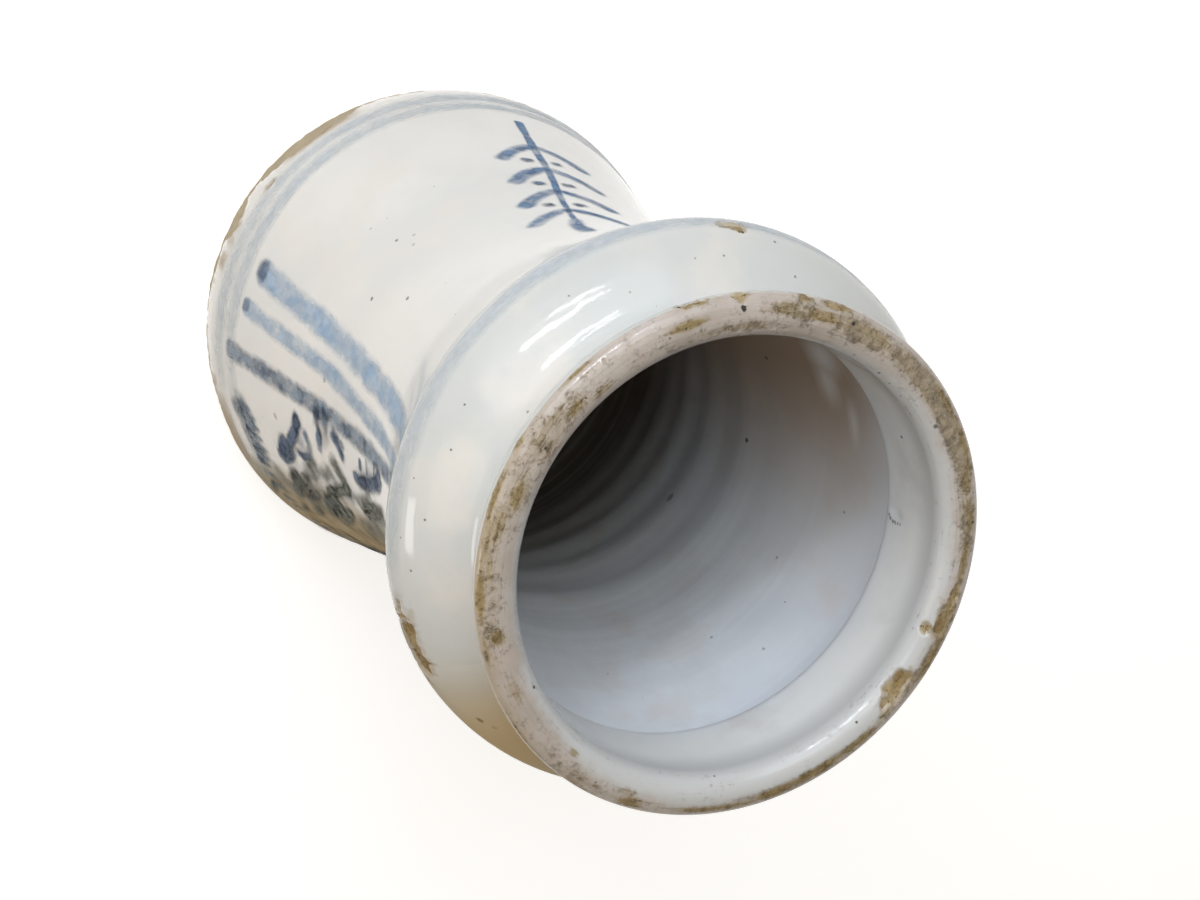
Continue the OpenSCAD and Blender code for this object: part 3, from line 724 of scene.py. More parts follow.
# cream at the throat, cool below it and darkened by painted shade towards the floor
def makeInsideFinish():
    look = {
        "cream": tone(241, 241, 238), "cool": tone(226, 231, 236), "creamZ": (0.158, 0.172),
        "glaze": {"Shade": tone(207, 212, 219), "Blush": tone(212, 206, 202), "Cloud Scale": 34.0,
                  "Shade Share": 0.4},
        "rim": tone(207, 207, 205), "rimZ": (0.174, 0.181),
        "dull": tone(84, 73, 60), "dullZ": (0.09, 0.03), "paintedDeepShadeShare": 0.92,
        "brown": tone(146, 116, 82), "paintedWarmLightTurn": (-98.0, 82.0), "paintedWarmLightZ": (0.157, 0.14), "paintedWarmLightShare": 0.9,
        "run": tone(238, 239, 238), "pinhole": tone(60, 54, 48),
        "thrownZ": (0.16, 0.148), "thrownShare": 0.22, "thrownHeight": 1.2,    # fine lines of the throwing
        "small": {"Scale": 260.0, "Share": 0.08, "Radius": 0.06},
        "large": {"Scale": 60.0, "Share": 0.1, "Radius": 0.014},
        "skin": {"Wave": 0.7, "Peel": 0.06},
        "rough": (0.1, 0.5), "roughZ": (0.1665, 0.1625),    # glossy near the mouth and dulled by use below
        "flecks": [
            (-145, 109, 0.6, 0.9), (-113, 120, 0.5, 0.9), (-115.5, 172.9, 0.4, 0.9), (-152, 141, 0.35, 0.5),
            (159, 132, 0.35, 0.5), (167, 142, 0.35, 0.5), (-172, 130, 0.35, 0.5), (-177, 87, 1.2, 0.5),
            # the last six flecks draw a dark line along the dent at the throat: painted shade in its
            # crease, with some dirt
            (-141.8, 165.0, 0.42, 0.5), (-142.6, 165.6, 0.46, 0.6), (-143.0, 166.5, 0.46, 0.6),
            (-143.0, 167.4, 0.42, 0.55), (-142.8, 168.3, 0.38, 0.5), (-142.6, 169.2, 0.34, 0.4),
        ],
    }
    finish, tree, shader = newFinish("insideGlaze")
    high = axes(tree)[2]
    milk = blend(ramp(high, *look["creamZ"]), look["cool"], look["cream"])
    glaze = useGroup(tree, tinGlaze, {"Milk": milk, **look["glaze"]})["Color"]
    # painted shade deep in the jar, darkest towards the floor
    cloudy = times(noise(place(tree), 45.0), 0.02)
    dulled = times(ramp(plus(high, cloudy), *look["dullZ"]), look["paintedDeepShadeShare"])
    colour = blend(dulled, glaze, look["dull"])
    thrown = noise(place(tree, (0.0, 0.0, 0.2), (7.0, 7.0, 310.0)), 1.0, 2.0)
    thrown = times(thrown, ramp(high, *look["thrownZ"]))
    colour = blend(ramp(thrown, 0.45, 0.7, 0.0, look["thrownShare"]), colour, look["glaze"]["Shade"])
    # painted warm bounce light and shade on one side of the inside, below the throat
    paintedWarmLight = ramp(high, *look["paintedWarmLightZ"], 0.0, look["paintedWarmLightShare"])
    colour = blend(times(around(tree, look["paintedWarmLightTurn"]), paintedWarmLight), colour, look["brown"])
    # painted glints on the inside glaze
    colour = blend(attribute(tree, "pale"), colour, look["run"])
    colour = blend(ramp(high, *look["rimZ"]), colour, look["rim"])
    small, large = twoPinholes(tree, look)
    holes = most(times(small, 0.5), large)
    colour = blend(times(holes, 0.8), colour, look["pinhole"])
    colour = flecked(colour, placed(look["flecks"], insideAt), look["pinhole"])
    feed(shader.inputs, Base_Color=colour, Roughness=ramp(high, *look["roughZ"], *look["rough"]))
    skin = useGroup(tree, glazeSkin, look["skin"])["Height"]
    height = plus(skin, times(thrown, look["thrownHeight"]))
    relief(shader, minus(height, holes), 0.25, 0.0005)
    return finish


# thin pinkish glaze, rubbed and stained along the rim, thick and cream towards the mouth
# an inset is the distance from the lip's widest ring in millimetres
def makeLipFinish():
    look = {
        "glaze": {"Milk": tone(199, 188, 178), "Shade": tone(172, 158, 143), "Blush": tone(193, 176, 163),
                  "Cloud Scale": 110.0, "Shade Share": 0.6, "Blush Share": 0.7},
        "cream": tone(207, 207, 205), "creamInset": (5.6, 9.0),
        # where the cream coat reaches nearer to the rim, and where it stays farther off
        "coolTurn": (146.0, 96.0), "coolShift": 3.6, "bareTurn": (-34.0, 66.0), "bareShift": -4.0,
        "dusk": tone(148, 134, 122), "duskShare": 0.38, "streakShare": 0.35,
        "gold": tone(168, 147, 100), "goldTurn": (45.0, 62.0), "goldInset": (3.4, 0.6), "goldShare": 0.6,
        "buff": tone(170, 154, 128), "grime": tone(124, 111, 89), "rubShare": 0.92,
        "olive": tone(154, 132, 82), "dark": tone(108, 88, 50), "stainShare": 0.92,
        "speck": tone(82, 65, 43), "speckShare": 0.75, "pinhole": tone(46, 40, 34),
        "creviceTurn": (-91.0, 38.0), "creviceInset": 6.4, "creviceWidth": (0.55, 0.1),
        "small": {"Scale": 330.0, "Share": 0.08, "Radius": 0.07},
        "large": {"Scale": 95.0, "Share": 0.1, "Radius": 0.025},
        "skin": {"Wave": 0.16, "Peel": 0.014},
        "rough": (0.06, 0.65),    # whole and worn
    }
    finish, tree, shader = newFinish("lipGlaze")
    glaze = useGroup(tree, tinGlaze, look["glaze"])["Color"]
    inset = attribute(tree, "inset")
    parts = axes(tree)
    # streaks of the wheel run round the lip
    wheel = {0: times(parts[0], 90.0), 1: times(parts[1], 90.0), 2: times(inset, 1.9)}
    streak = minus(noise(addNode(tree, "ShaderNodeCombineXYZ", wheel).outputs[0], 1.0), 0.5)
    coarse = mottle(tree, (1.3, 0.2, 2.4), 430.0, 4.0, 0.65)
    fine = mottle(tree, (3.9, 1.1, 0.7), 1150.0, 5.0, 0.75)
    grain = plus(coarse, fine)
    patch = mottle(tree, (2.7, 3.3, 0.4), 170.0, 4.0, 0.6)
    base = blend(times(ramp(streak, -0.04, 0.16), look["streakShare"]), glaze, look["glaze"]["Shade"])
    base = blend(ramp(grain, 0.02, 0.26, 0.0, look["duskShare"]), base, look["dusk"])
    thickly = plus(times(around(tree, look["coolTurn"]), look["coolShift"]),
                   times(around(tree, look["bareTurn"]), look["bareShift"]))
    creamEdge = plus(inset, thickly, times(patch, 5.0))
    base = blend(ramp(creamEdge, *look["creamInset"]), base, look["cream"])
    golden = ramp(plus(inset, times(streak, 7.0)), *look["goldInset"], 0.0, look["goldShare"])
    base = blend(times(around(tree, look["goldTurn"]), golden), base, look["gold"])
    rub = plus(attribute(tree, "rub"), plus(grain, times(patch, 0.9)))
    rubbed = times(ramp(rub, 0.1, 0.85), look["rubShare"])
    colour = blend(rubbed, base, blend(ramp(grain, -0.1, 0.2), look["buff"], look["grime"]))
    stain = plus(attribute(tree, "stain"), plus(times(streak, 1.3), times(grain, 0.9)))
    stained = ramp(stain, 0.1, 1.05)
    olive = blend(ramp(grain, -0.05, 0.22), look["olive"], look["dark"])
    colour = blend(times(stained, look["stainShare"]), colour, olive)
    # dirt lies in the worn zone's pits and in a crevice along its inner edge
    matt = most(rubbed, stained)
    pitted = times(ramp(fine, 0.11, 0.22), matt)
    gap = maths("ABSOLUTE", minus(plus(inset, times(patch, 4.0)), look["creviceInset"]))
    crevice = times(ramp(gap, *look["creviceWidth"]), around(tree, look["creviceTurn"]))
    crevice = times(crevice, ramp(coarse, -0.03, 0.1))
    dirt = times(most(times(pitted, 0.7), crevice), look["speckShare"])
    colour = thinned(blend(dirt, colour, look["speck"]), 0.5, 0.7)
    holes = most(*twoPinholes(tree, look))
    colour = blend(times(holes, 0.85), colour, look["pinhole"])
    colour = flecked(colour, placed(wear["pits"], lipAt), look["pinhole"])
    feed(shader.inputs, Base_Color=colour, Roughness=ramp(matt, 0.2, 0.85, *look["rough"]))
    worked = times(plus(times(grain, 1.3), streak), plus(matt, 0.03))
    height = plus(worked, useGroup(tree, glazeSkin, look["skin"])["Height"])
    relief(shader, minus(height, holes), 0.75, 0.0006)
    return finish


# wash and clot are the thin and the thick pigment; soft is the fading share of a stroke's half width
paints = {
    "band_paint": {
        "wash": tone(217, 222, 226), "clot": tone(197, 207, 215), "clotShare": 0.55, "share": 0.9,
        "load": {"Soft": 0.9, "Ragged": 0.12, "Streak": 0.3, "Gaps": 0.14}},
    "pale_blue_paint": {
        "wash": tone(190, 206, 222), "clot": tone(152, 178, 206), "clotShare": 0.8, "share": 1.0,
        "load": {"Soft": 0.75, "Ragged": 0.3, "Streak": 0.3, "Gaps": 0.28}},
    "grey_blue_paint": {
        "wash": tone(152, 166, 180), "clot": tone(72, 86, 104), "clotShare": 0.85, "share": 1.05,
        "load": {"Soft": 0.75, "Ragged": 0.4, "Streak": 0.25, "Gaps": 0.35}},
    "deep_blue_paint": {
        "wash": tone(112, 129, 151), "clot": tone(38, 50, 74), "clotShare": 0.85, "share": 1.1,
        "load": {"Soft": 0.75, "Ragged": 0.45, "Streak": 0.15, "Gaps": 0.5}},
    "leaf_paint": {
        "wash": tone(124, 127, 114), "clot": tone(30, 32, 28), "clotShare": 0.9, "share": 1.15,
        "load": {"Soft": 0.8, "Ragged": 0.5, "Streak": 0.2, "Gaps": 0.5}},
    "sprig_paint": {
        "wash": tone(112, 146, 181), "clot": tone(68, 100, 142), "clotShare": 0.9, "share": 0.98,
        "load": {"Soft": 0.6, "Ragged": 0.35, "Streak": 0.3, "Gaps": 0.35}},
}


# outer_glaze becomes outerGlaze
def camel(words):
    first, *others = words.split("_")
    return first + "".join(word.title() for word in others)


def makePaint(slot):
    look = paints[slot]
    finish, tree, shader = newFinish(camel(slot), Roughness=0.6, Specular_IOR_Level=0.12)
    load = useGroup(tree, brushLoad, {
        "Brush": attribute(tree, "brush", "Vector"), "Rim": attribute(tree, "rim"), **look["load"]})
    dose = attribute(tree, "dose")
    # a dose above 1 leaves thick pigment
    thick = times(ramp(dose, 1.0, 1.6), ramp(load["Clot"], 0.0, 1.0, 0.65, 1.0))
    clotted = most(times(load["Clot"], look["clotShare"]), thick)
    cover = maths("MINIMUM", times(load["Cover"], look["share"], dose), 1.0)
    feed(shader.inputs, Base_Color=blend(clotted, look["wash"], look["clot"]), Alpha=cover)
    relief(shader, useGroup(tree, glazeSkin)["Height"], 0.25, 0.0005)
    return finish


finishes = {
    "fired_clay": makeClayFinish(),
    "outside_glaze": makeOutsideFinish(),
    "inside_glaze": makeInsideFinish(),
    "lip_glaze": makeLipFinish(),
    **{slot: makePaint(slot) for slot in paints},
}
print("finishes:", len(finishes))

# clay and glaze

glazing = {
    "bed": 0.12,           # how far the glaze bites into the clay
    "cutDepth": 1.5,       # worn glaze is sunk by this many glaze thicknesses before it is left out
    "leastThick": 0.03,
    "clayDrop": (4.5, 7.5),     # heights between which the clay sinks under the glaze
    # columns in degrees, finer on the photographed side and at the largest chips
    "turns": [(-100, 51, 0.7), (51, 71, 0.35), (71, 100, 0.7), (100, 260, 1.4)],
    "lipTurns": [(-180, 180, 0.5)],
    "innerTurns": [(-180, -146, 1.0), (-146, -138, 0.25), (-138, 180, 1.0)],
    # rows by height, then by distance up to the lip
    "heights": [(7.6, 14, 1.0), (14, 20, 0.7), (20, 48, 1.7), (48, 147, 2.7),
                (147, 154, 1.0), (154, 160, 0.55), (160, 165, 0.9)],
    "neckStep": 1.2,
    "lipStep": 0.42,
}
turns, lipTurns, innerTurns = (steps(*glazing[key])[:-1] for key in ("turns", "lipTurns", "innerTurns"))
heightRows = outsideAt(steps(*glazing["heights"]))
neckStep = glazing["neckStep"]
outsideRows = np.concatenate([heightRows, steps((heightRows[-1] + neckStep, marks["lip"], neckStep))])
lipRows = steps((marks["lip"], marks["throat"], glazing["lipStep"]))
innerRows = np.concatenate([
    steps((marks["throat"], marks["underShoulder"] + 3, 0.8)),
    steps((marks["underShoulder"] + 4, marks["inUpper"], 1.3)),
    steps((marks["inUpper"] + 1.8, marks["heel"], 1.8)),
    steps((marks["heel"] + 2.2, marks["floor"], 2.2)),
    steps((marks["floor"] + 3, lineAlong[-1], 4.0))])


def glazePiece(node, slot, angles, places):
    worn, _ = wornAt(angles, places)
    points = onJar(angles[None, :], places[:, None])
    pitted = 0.6 * waveNoise(points, 2.6, 33) + 0.4 * waveNoise(points, 1.4, 34)
    stains = placed(wear["stains"], lipAt) + placed(wear["collarStains"], outsideAt)
    rub = strongest(placed(wear["rubs"], lipAt), angles, places)
    dents = strongest(placed(wear["throatDents"], insideAt), angles, places, (0.0, 1.0))
    sunk = jar["glaze"] * glazing["cutDepth"] * smoothStep(0.0, 0.4, worn)
    sunk += wear["rubRough"] * smoothStep(0.15, 0.8, rub) * np.clip(0.6 + pitted, 0, 2) + dents
    under = np.full(worn.shape, -jar["glaze"] - glazing["bed"])
    skinPiece(node, slot, angles, places, np.maximum(-sunk, under), under, {
        "worn": smoothStep(-0.9, 0.4, worn),
        "stain": strongest(stains, angles, places),
        "rub": rub,
        "inset": np.broadcast_to((places - marks["lip"])[:, None], worn.shape),
        "pale": strongest(placed(wear["paleRuns"], insideAt), angles, places, (-0.1, 0.95))})


def clayPiece():
    # rings of the base as radius and height: the hollow, then the resting ring
    recess = jar["recessDepth"]
    rings = [(0, recess)] + [(r, recess + 0.06 * math.sin(r * 2.4)) for r in np.arange(3, 40.6, 2.5)]
    rings += [(jar["recessRadius"] - recess, recess), (jar["recessRadius"], 0.0)]
    rings += [(r, 0.0) for r in (44.0, 48.0, 52.0)]
    rows = np.unique(np.concatenate([
        steps((0, outsideAt(7.0), 1.2)), outsideRows[::2],
        steps((marks["lip"] + 0.5, marks["throat"], 0.5)),
        steps((marks["throat"] + 2, marks["underShoulder"] + 3, 1.6)),
        steps((marks["underShoulder"] + 8, lineAlong[-1], 6.0)),
        outsideAt(steps((12, 21, 0.8))), outsideAt(steps((153, 163, 0.6)))]))
    worn, deep = wornAt(turns, rows)
    beds = smoothStep(*glazing["clayDrop"], heightAt(rows))
    beds[rows > marks["lip"]] = 1.0
    bed = -jar["glaze"] * beds[:, None]
    points = onJar(turns[None, :], rows[:, None])
    rough = 0.06 * waveNoise(points, 2.2, 31) + 0.05 * waveNoise(points, 6.0, 32)
    rough *= smoothStep(0.2, 0.7, worn) * smoothStep(0.5, 4.0, rows)[:, None]
    lift = bed - deep + rough
    lift = np.where(worn > 0.4, lift, np.minimum(lift, bed))
    wall = onJar(turns[None, :], rows[:, None], lift)
    a = np.radians(turns)
    rounds = [np.broadcast_arrays(r * np.sin(a), -r * np.cos(a), z) for r, z in rings]
    base = np.moveaxis(np.array(rounds), 1, -1) * mm
    grid = np.concatenate([base, wall])
    index = np.arange(grid[..., 0].size).reshape(grid.shape[:2])
    faces = np.stack(gridCorners(index, True), -1).reshape(-1, 4)
    depths = np.concatenate([np.zeros(base.shape[:2]), deep]).ravel()
    meshPiece("clay_body", "fired_clay", grid.reshape(-1, 3), [faces], {"deep": depths})


clayPiece()
glazePiece("outer_glaze", "outside_glaze", turns, outsideRows)
glazePiece("lip_glaze", "lip_glaze", lipTurns, lipRows)
glazePiece("inner_glaze", "inside_glaze", innerTurns, innerRows)

# brush painting

brush = {
    "columns": 9,
    "step": 0.7,       # millimetres between rows of a stroke
    "runOn": 0.6,      # a stroke runs on past its end points by this share of its half width
    "lift": 0.05,
    "stack": 0.006,    # each later stroke lies this much higher
    "sink": -0.03,     # the edge dips into the glaze
    "bed": -0.1,
    "apart": 7.3,      # moves the bristle pattern on from stroke to stroke
}


# how much wider a stroke's mesh is than the paint that shows, so that the paint's edge can fade
def spreadOf(slot):
    return 1 / (1 - 0.5 * paints[slot]["load"]["Soft"])


# a Catmull-Rom line through values at whole knots
def smoothLine(values, fine):
    padded = np.concatenate([[2 * values[0] - values[1]], values, [2 * values[-1] - values[-2]]])
    i = np.minimum(fine.astype(int), len(values) - 2)
    t = fine - i
    p0, p1, p2, p3 = (padded[i + k] for k in range(4))
    return 0.5 * (2 * p1 + (p2 - p0) * t + (2 * p0 - 5 * p1 + 4 * p2 - p3) * t * t
                  + (3 * p1 - p0 - 3 * p2 + p3) * t ** 3)


# a smooth line through a few points given as angle and height, evenly stepped in millimetres
def strokeLine(points, reach):
    angle, height = np.array(points, float).T
    s = outsideAt(height)
    if len(points) > 2:
        fine = np.linspace(0, len(points) - 1, 24 * len(points))
        angle, s = (smoothLine(values, fine) for values in (angle, s))
    length = np.cumsum(np.hypot(np.diff(np.radians(angle) * radiusAt(s)), np.diff(s)))
    length = np.concatenate([[0], length])
    first = length[1]
    last = length[-1] - length[-2]
    even = np.linspace(0, length[-1] + 2 * reach, max(6, int((length[-1] + 2 * reach) / brush["step"])))
    length = np.concatenate([[0], length + reach, [length[-1] + 2 * reach]])
    # the line runs straight on at both ends
    found = []
    for values in (angle, s):
        before = values[0] - (values[1] - values[0]) / first * reach
        after = values[-1] + (values[-1] - values[-2]) / last * reach
        found.append(np.interp(even, length, np.concatenate([[before], values, [after]])))
    return (*found, even)


# grids of one brush stroke, with what the paint finish reads
def strokeGrid(points, width, order, seed, slot, dose=1.0, taper=(1.0, 1.0), hollow=0.0):
    draw = np.random.default_rng(seed)
    half = width / 2 * spreadOf(slot)
    angle, s, length = strokeLine(points, brush["runOn"] * half)
    halves = half * (taper[0] + (taper[1] - taper[0]) * length / length[-1])
    wave = draw.uniform(0, math.tau, 2)
    halves = halves * (1 + 0.04 * np.sin(length / 4.1 + wave[0]) + 0.03 * np.sin(length / 1.7 + wave[1]))
    # the ends round off
    ends = np.minimum(length, length[-1] - length)
    halves = halves * np.sqrt(np.clip(1 - (1 - np.clip(ends / half, 0, 1)) ** 2, 0.02, 1))
    wayAcross = np.gradient(np.radians(angle)) * radiusAt(s)
    wayAlong = np.gradient(s)
    norm = np.hypot(wayAcross, wayAlong)
    c = np.linspace(-1, 1, brush["columns"])
    rim = np.minimum((1 - np.abs(c))[None, :] * halves[:, None], ends[:, None]) / half
    rise = brush["lift"] + order * brush["stack"] - brush["sink"]
    number = seed * brush["apart"]
    return {
        "angle": angle[:, None] + np.degrees((wayAlong / norm * halves / radiusAt(s))[:, None] * c),
        "s": s[:, None] - (wayAcross / norm * halves)[:, None] * c,
        "lift": brush["sink"] + rise * smoothStep(0, 0.12, rim),
        "rim": rim,
        "brush": np.stack(np.broadcast_arrays(length[:, None], c * halves[:, None], number), -1),
        "dose": dose * (1 - hollow * smoothStep(0.35, 0.8, rim)),
    }


def strokesPiece(node, slot, grids, closed=False):
    points = []
    faces = []
    values = {"rim": [], "brush": [], "dose": []}
    start = 0
    for grid in grids:
        count = grid["rim"].size
        bed = np.full(grid["rim"].shape, brush["bed"])
        points += [onJar(grid["angle"], grid["s"], lift).reshape(-1, 3) for lift in (grid["lift"], bed)]
        for label in values:
            values[label] += [grid[label].reshape(count, -1).squeeze()] * 2
        index = start + np.arange(count).reshape(grid["rim"].shape)
        over = np.stack(gridCorners(index, False), -1).reshape(-1, 4)
        faces += [over, over[:, ::-1] + count]
        border = [(index[0, 1:], index[0, :-1]), (index[-1, :-1], index[-1, 1:])]
        if not closed:
            border += [(index[1:, -1], index[:-1, -1]), (index[:-1, 0], index[1:, 0])]
        faces += [np.stack([p, q, q + count, p + count], -1) for p, q in border]
        start += 2 * count
    joined = {label: np.concatenate(numbers) for label, numbers in values.items()}
    meshPiece(node, slot, np.vstack(points), faces, joined)


# painted bands all the way round
bands = {
    "slot": "band_paint",
    "seed": 40,
    "fadeTurn": 72,            # where they fade, on the side with the painted brown reflection
    "fadeReach": (50, 14),
    # lowest and highest height, sway and its angle, and the share that fades
    "rings": {
        "foot_band_lower": (17.6, 22.2, 0.5, 45, 0.85),
        "foot_band_upper": (23.2, 27.6, 1.1, 45, 0.75),
        "shoulder_band_lower": (149.2, 153.0, 0.25, 10, 0.0),
        "shoulder_band_upper": (154.2, 158.0, 0.25, 60, 0.9),
    },
}


# a band has the wavering edges of a brush held against the turning jar
def bandGrid(low, high, swayed, swayTurn, faded, seed):
    draw = np.random.default_rng(seed)
    angles = np.append(np.arange(-180, 180, 1.0), 180.0)
    a = np.radians(angles)
    low, high = outsideAt([low, high])
    middle = (low + high) / 2
    half = (high - low) / 2 * spreadOf(bands["slot"])
    wave = draw.uniform(0, math.tau, 4)
    sway = swayed * np.sin(a + math.radians(swayTurn)) + 0.12 * np.sin(3 * a + wave[1])
    width = half * (1 + 0.1 * np.sin(2 * a + wave[2]) + 0.06 * np.sin(7 * a + wave[3]))
    c = np.linspace(-1, 1, brush["columns"] + 2)
    rim = (1 - np.abs(c))[:, None] * np.ones(len(a))
    dose = 0.82 + 0.18 * np.sin(2 * a + wave[3]) * np.sin(5 * a + wave[1])
    # thin or rubbed away on the side with the painted brown reflection, and gone where the glaze under it
    # is chipped
    dose = dose * (1 - faded * smoothStep(*bands["fadeReach"], np.abs(angles - bands["fadeTurn"])))
    whole = 1 - smoothStep(-0.25, 0.1, wornAt(angles, middle + half * c)[0])
    lengthRound = (radiusAt(middle) * a)[None, :]
    number = seed * brush["apart"]
    return {
        "angle": np.broadcast_to(angles, rim.shape),
        "s": middle + sway[None, :] + width[None, :] * c[:, None],
        "lift": brush["sink"] + (brush["lift"] - brush["sink"]) * smoothStep(0, 0.15, rim),
        "rim": rim,
        "brush": np.stack(np.broadcast_arrays(lengthRound, (c * half)[:, None], number), -1),
        "dose": dose[None, :] * whole,
    }


for number, (node, ring) in enumerate(bands["rings"].items()):
    strokesPiece(node, bands["slot"], [bandGrid(*ring, bands["seed"] + number)], closed=True)

# the painted panel: each stroke has its points as angle and height, its width and how loaded the brush was
panel = {
    "middle": 86.0,
    "broad": [([(16.8, 34), (18.1, 48), (19.2, 66), (20.6, 80),
                (22.2, 94), (23.3, 110), (24.4, 124), (25, 134)], 5.3, 1.0)],
    "slim": [([(26.4, 31.6), (27.6, 46), (28.5, 64), (29.4, 76), (31.4, 88),
               (32.6, 99), (33, 110), (34, 122), (34.6, 133)], 3.9, 0.85)],
    "dark": [([(38.4, 25.6), (39.1, 36), (39.6, 48), (40, 60), (40.4, 72),
               (40.9, 84), (41.1, 96), (40.9, 106), (40.4, 116), (39.8, 127)], 4.4, 0.95)],
    "beads": [([(16.7, 33.2), (16.5, 36.0)], 4.8, 1.1), ([(26.1, 31.0), (26.1, 33.0)], 3.2, 1.1)],
    "flowers": [
        ([(44.6, 110.6), (47.4, 107.6), (50.2, 103), (52.8, 97), (54.2, 91.4), (54.2, 88.6)], 4.4, 1.25),
        ([(46.6, 108), (49.2, 104)], 2.8, 1.5), ([(52.8, 96), (54, 91)], 2.6, 1.45),
        ([(42.4, 106.8), (46.2, 105.4)], 1.9, 0.9), ([(44.6, 99.6), (48.8, 99)], 1.7, 1.0),
        ([(46.6, 94.6), (50, 93.6)], 1.8, 1.15), ([(44.6, 78.6), (47, 81.6), (50.6, 83)], 3.6, 1.2),
        ([(45.8, 83.4), (47.2, 84.6)], 1.9, 1.0), ([(41.4, 75.6), (45.2, 74.4)], 5.0, 0.8),
        ([(41, 71.4), (45.4, 70.2)], 3.6, 0.7), ([(46.6, 72), (49.4, 70.8), (52.6, 70)], 3.2, 1.15),
        ([(47, 60.4), (49.6, 58.4), (53, 56.2), (56.4, 52.6)], 4.3, 1.3),
        ([(47.4, 60.2), (50, 58.2)], 3.2, 1.55),
        ([(49.8, 62.8), (53, 64.4), (56.4, 62.6), (58.2, 59.4), (57.2, 55.8)], 2.7, 0.95),
        ([(56.2, 50.8), (59.2, 47.6), (62.6, 44.6)], 4.8, 1.3), ([(58, 48.6), (61, 46)], 3.0, 1.55),
        ([(58.4, 54.2), (61.4, 50.2), (63.6, 46)], 2.3, 0.85), ([(51, 60.8), (55.4, 59.6)], 4.4, 0.4),
        ([(46, 104), (50, 99), (52, 92)], 5.0, 0.35), ([(57, 52), (61, 49)], 5.0, 0.4),
        ([(46.4, 76), (50, 73)], 4.0, 0.35),
    ],
    "leaves": [
        ([(60, 104), (64, 94), (67, 86)], 8.0, 0.7), ([(57, 97), (61, 90), (64, 83)], 5.0, 0.55),
        ([(62, 80), (66, 70)], 6.0, 0.65), ([(58, 64), (64, 58), (70, 52)], 6.5, 0.65),
        ([(70, 90), (75, 82), (80, 74)], 8.0, 0.5), ([(69, 38), (76, 30)], 8.0, 0.4),
        ([(54, 76), (58, 79.5), (61, 80.6)], 5.6, 0.9), ([(75, 52), (80, 60)], 9.0, 0.5),
        ([(59, 73), (62, 66)], 6.0, 0.55), ([(70, 60), (74, 67)], 9.0, 0.6),
        ([(72, 50), (78, 44)], 8.0, 0.5),
        ([(55.6, 107), (59, 102), (62.6, 96.6), (66, 90.4), (67.6, 85.6)], 2.7, 0.9),
        ([(58.4, 101), (60.6, 95), (62, 91)], 2.9, 0.85),
        ([(60.6, 92), (63.4, 88), (65.6, 84.6)], 2.7, 0.85), ([(54.4, 77.2), (57, 79)], 3.8, 1.1),
        ([(60.4, 81), (63.2, 76), (65.4, 70.6), (66.6, 65)], 2.9, 1.0),
        ([(65.2, 69.6), (66.2, 66.2)], 3.2, 1.35), ([(66, 54.6), (67.6, 51)], 3.6, 0.85),
        ([(67, 49.6), (69.6, 46.4), (72.4, 43), (75, 40.6)], 5.8, 1.35),
        ([(68, 48), (71, 44.6)], 4.0, 1.6), ([(70, 57), (73, 52), (75.6, 46)], 2.7, 0.75),
        ([(69.4, 69), (70.8, 63), (73.6, 59.4), (77.6, 57)], 4.5, 1.35),
        ([(70, 66), (71.8, 61.6), (74.6, 58.8)], 3.1, 1.6),
        ([(70.4, 73.4), (74, 70.6), (77, 66.6), (79.4, 61.4)], 2.7, 0.95),
        ([(72.4, 69), (74.6, 64.6), (77, 61)], 3.5, 0.85), ([(71, 79), (75, 76)], 2.7, 0.55),
        ([(62.4, 62.4), (64.4, 60)], 2.5, 0.65), ([(79, 48), (82, 42)], 3.7, 0.85),
        ([(80, 38), (83, 33)], 3.0, 0.65), ([(75, 27), (78.6, 22)], 2.8, 0.75),
        ([(79, 90), (83, 80)], 4.5, 0.85), ([(76, 103), (80, 96)], 4.4, 0.85),
        ([(71, 108), (75, 100)], 4.2, 0.75),
    ],
    "grass": [
        ([(51.6, 28), (54, 31.4), (57.2, 32.6), (60.4, 32), (63.4, 32.4), (67.6, 30.4)], 8.0, 0.7),
        ([(52, 25.6), (56, 27.4), (61, 27.4), (67, 26.8)], 4.4, 0.55),
        ([(51.4, 28), (51.8, 33.6)], 2.8, 0.8), ([(53.6, 29), (54.2, 35.4)], 3.0, 0.85),
        ([(56.6, 29.4), (57.0, 36)], 3.0, 0.85), ([(59.2, 29), (59.8, 35.4)], 3.0, 0.8),
        ([(62.2, 29), (63.0, 35.6)], 3.0, 0.9), ([(65, 28.4), (66, 34.2)], 3.2, 1.0),
        ([(67.4, 27), (68.4, 32.6)], 2.4, 1.0), ([(71, 26), (72, 31)], 2.2, 0.7),
        ([(75, 26), (76, 31.6)], 2.2, 0.7), ([(79.6, 26), (80.6, 32)], 2.2, 0.8),
        ([(83.6, 26), (84.4, 32)], 2.2, 0.8), ([(52, 31), (53, 31.8)], 2.7, 1.3),
        ([(55.4, 33), (56, 33.6)], 2.5, 1.3), ([(58, 30), (58.6, 30.4)], 2.5, 1.2),
        ([(64, 31), (65, 31.6)], 3.1, 1.4), ([(67, 29), (67.6, 29.4)], 2.7, 1.25),
    ],
    "seed": 60,
    "jitter": 0.8,      # how far the second side's strokes stray from the first's
}


# each stroke and its mirror image on the panel's far half
def bothSides(strokes, seed):
    draw = np.random.default_rng(seed)
    found = []
    for points, width, dose in strokes:
        shift = draw.normal(0, panel["jitter"], 2)
        mirrored = [(2 * panel["middle"] - a + shift[0], z + shift[1]) for a, z in points]
        found += [(points, width, dose), (mirrored, width, dose)]
    return found


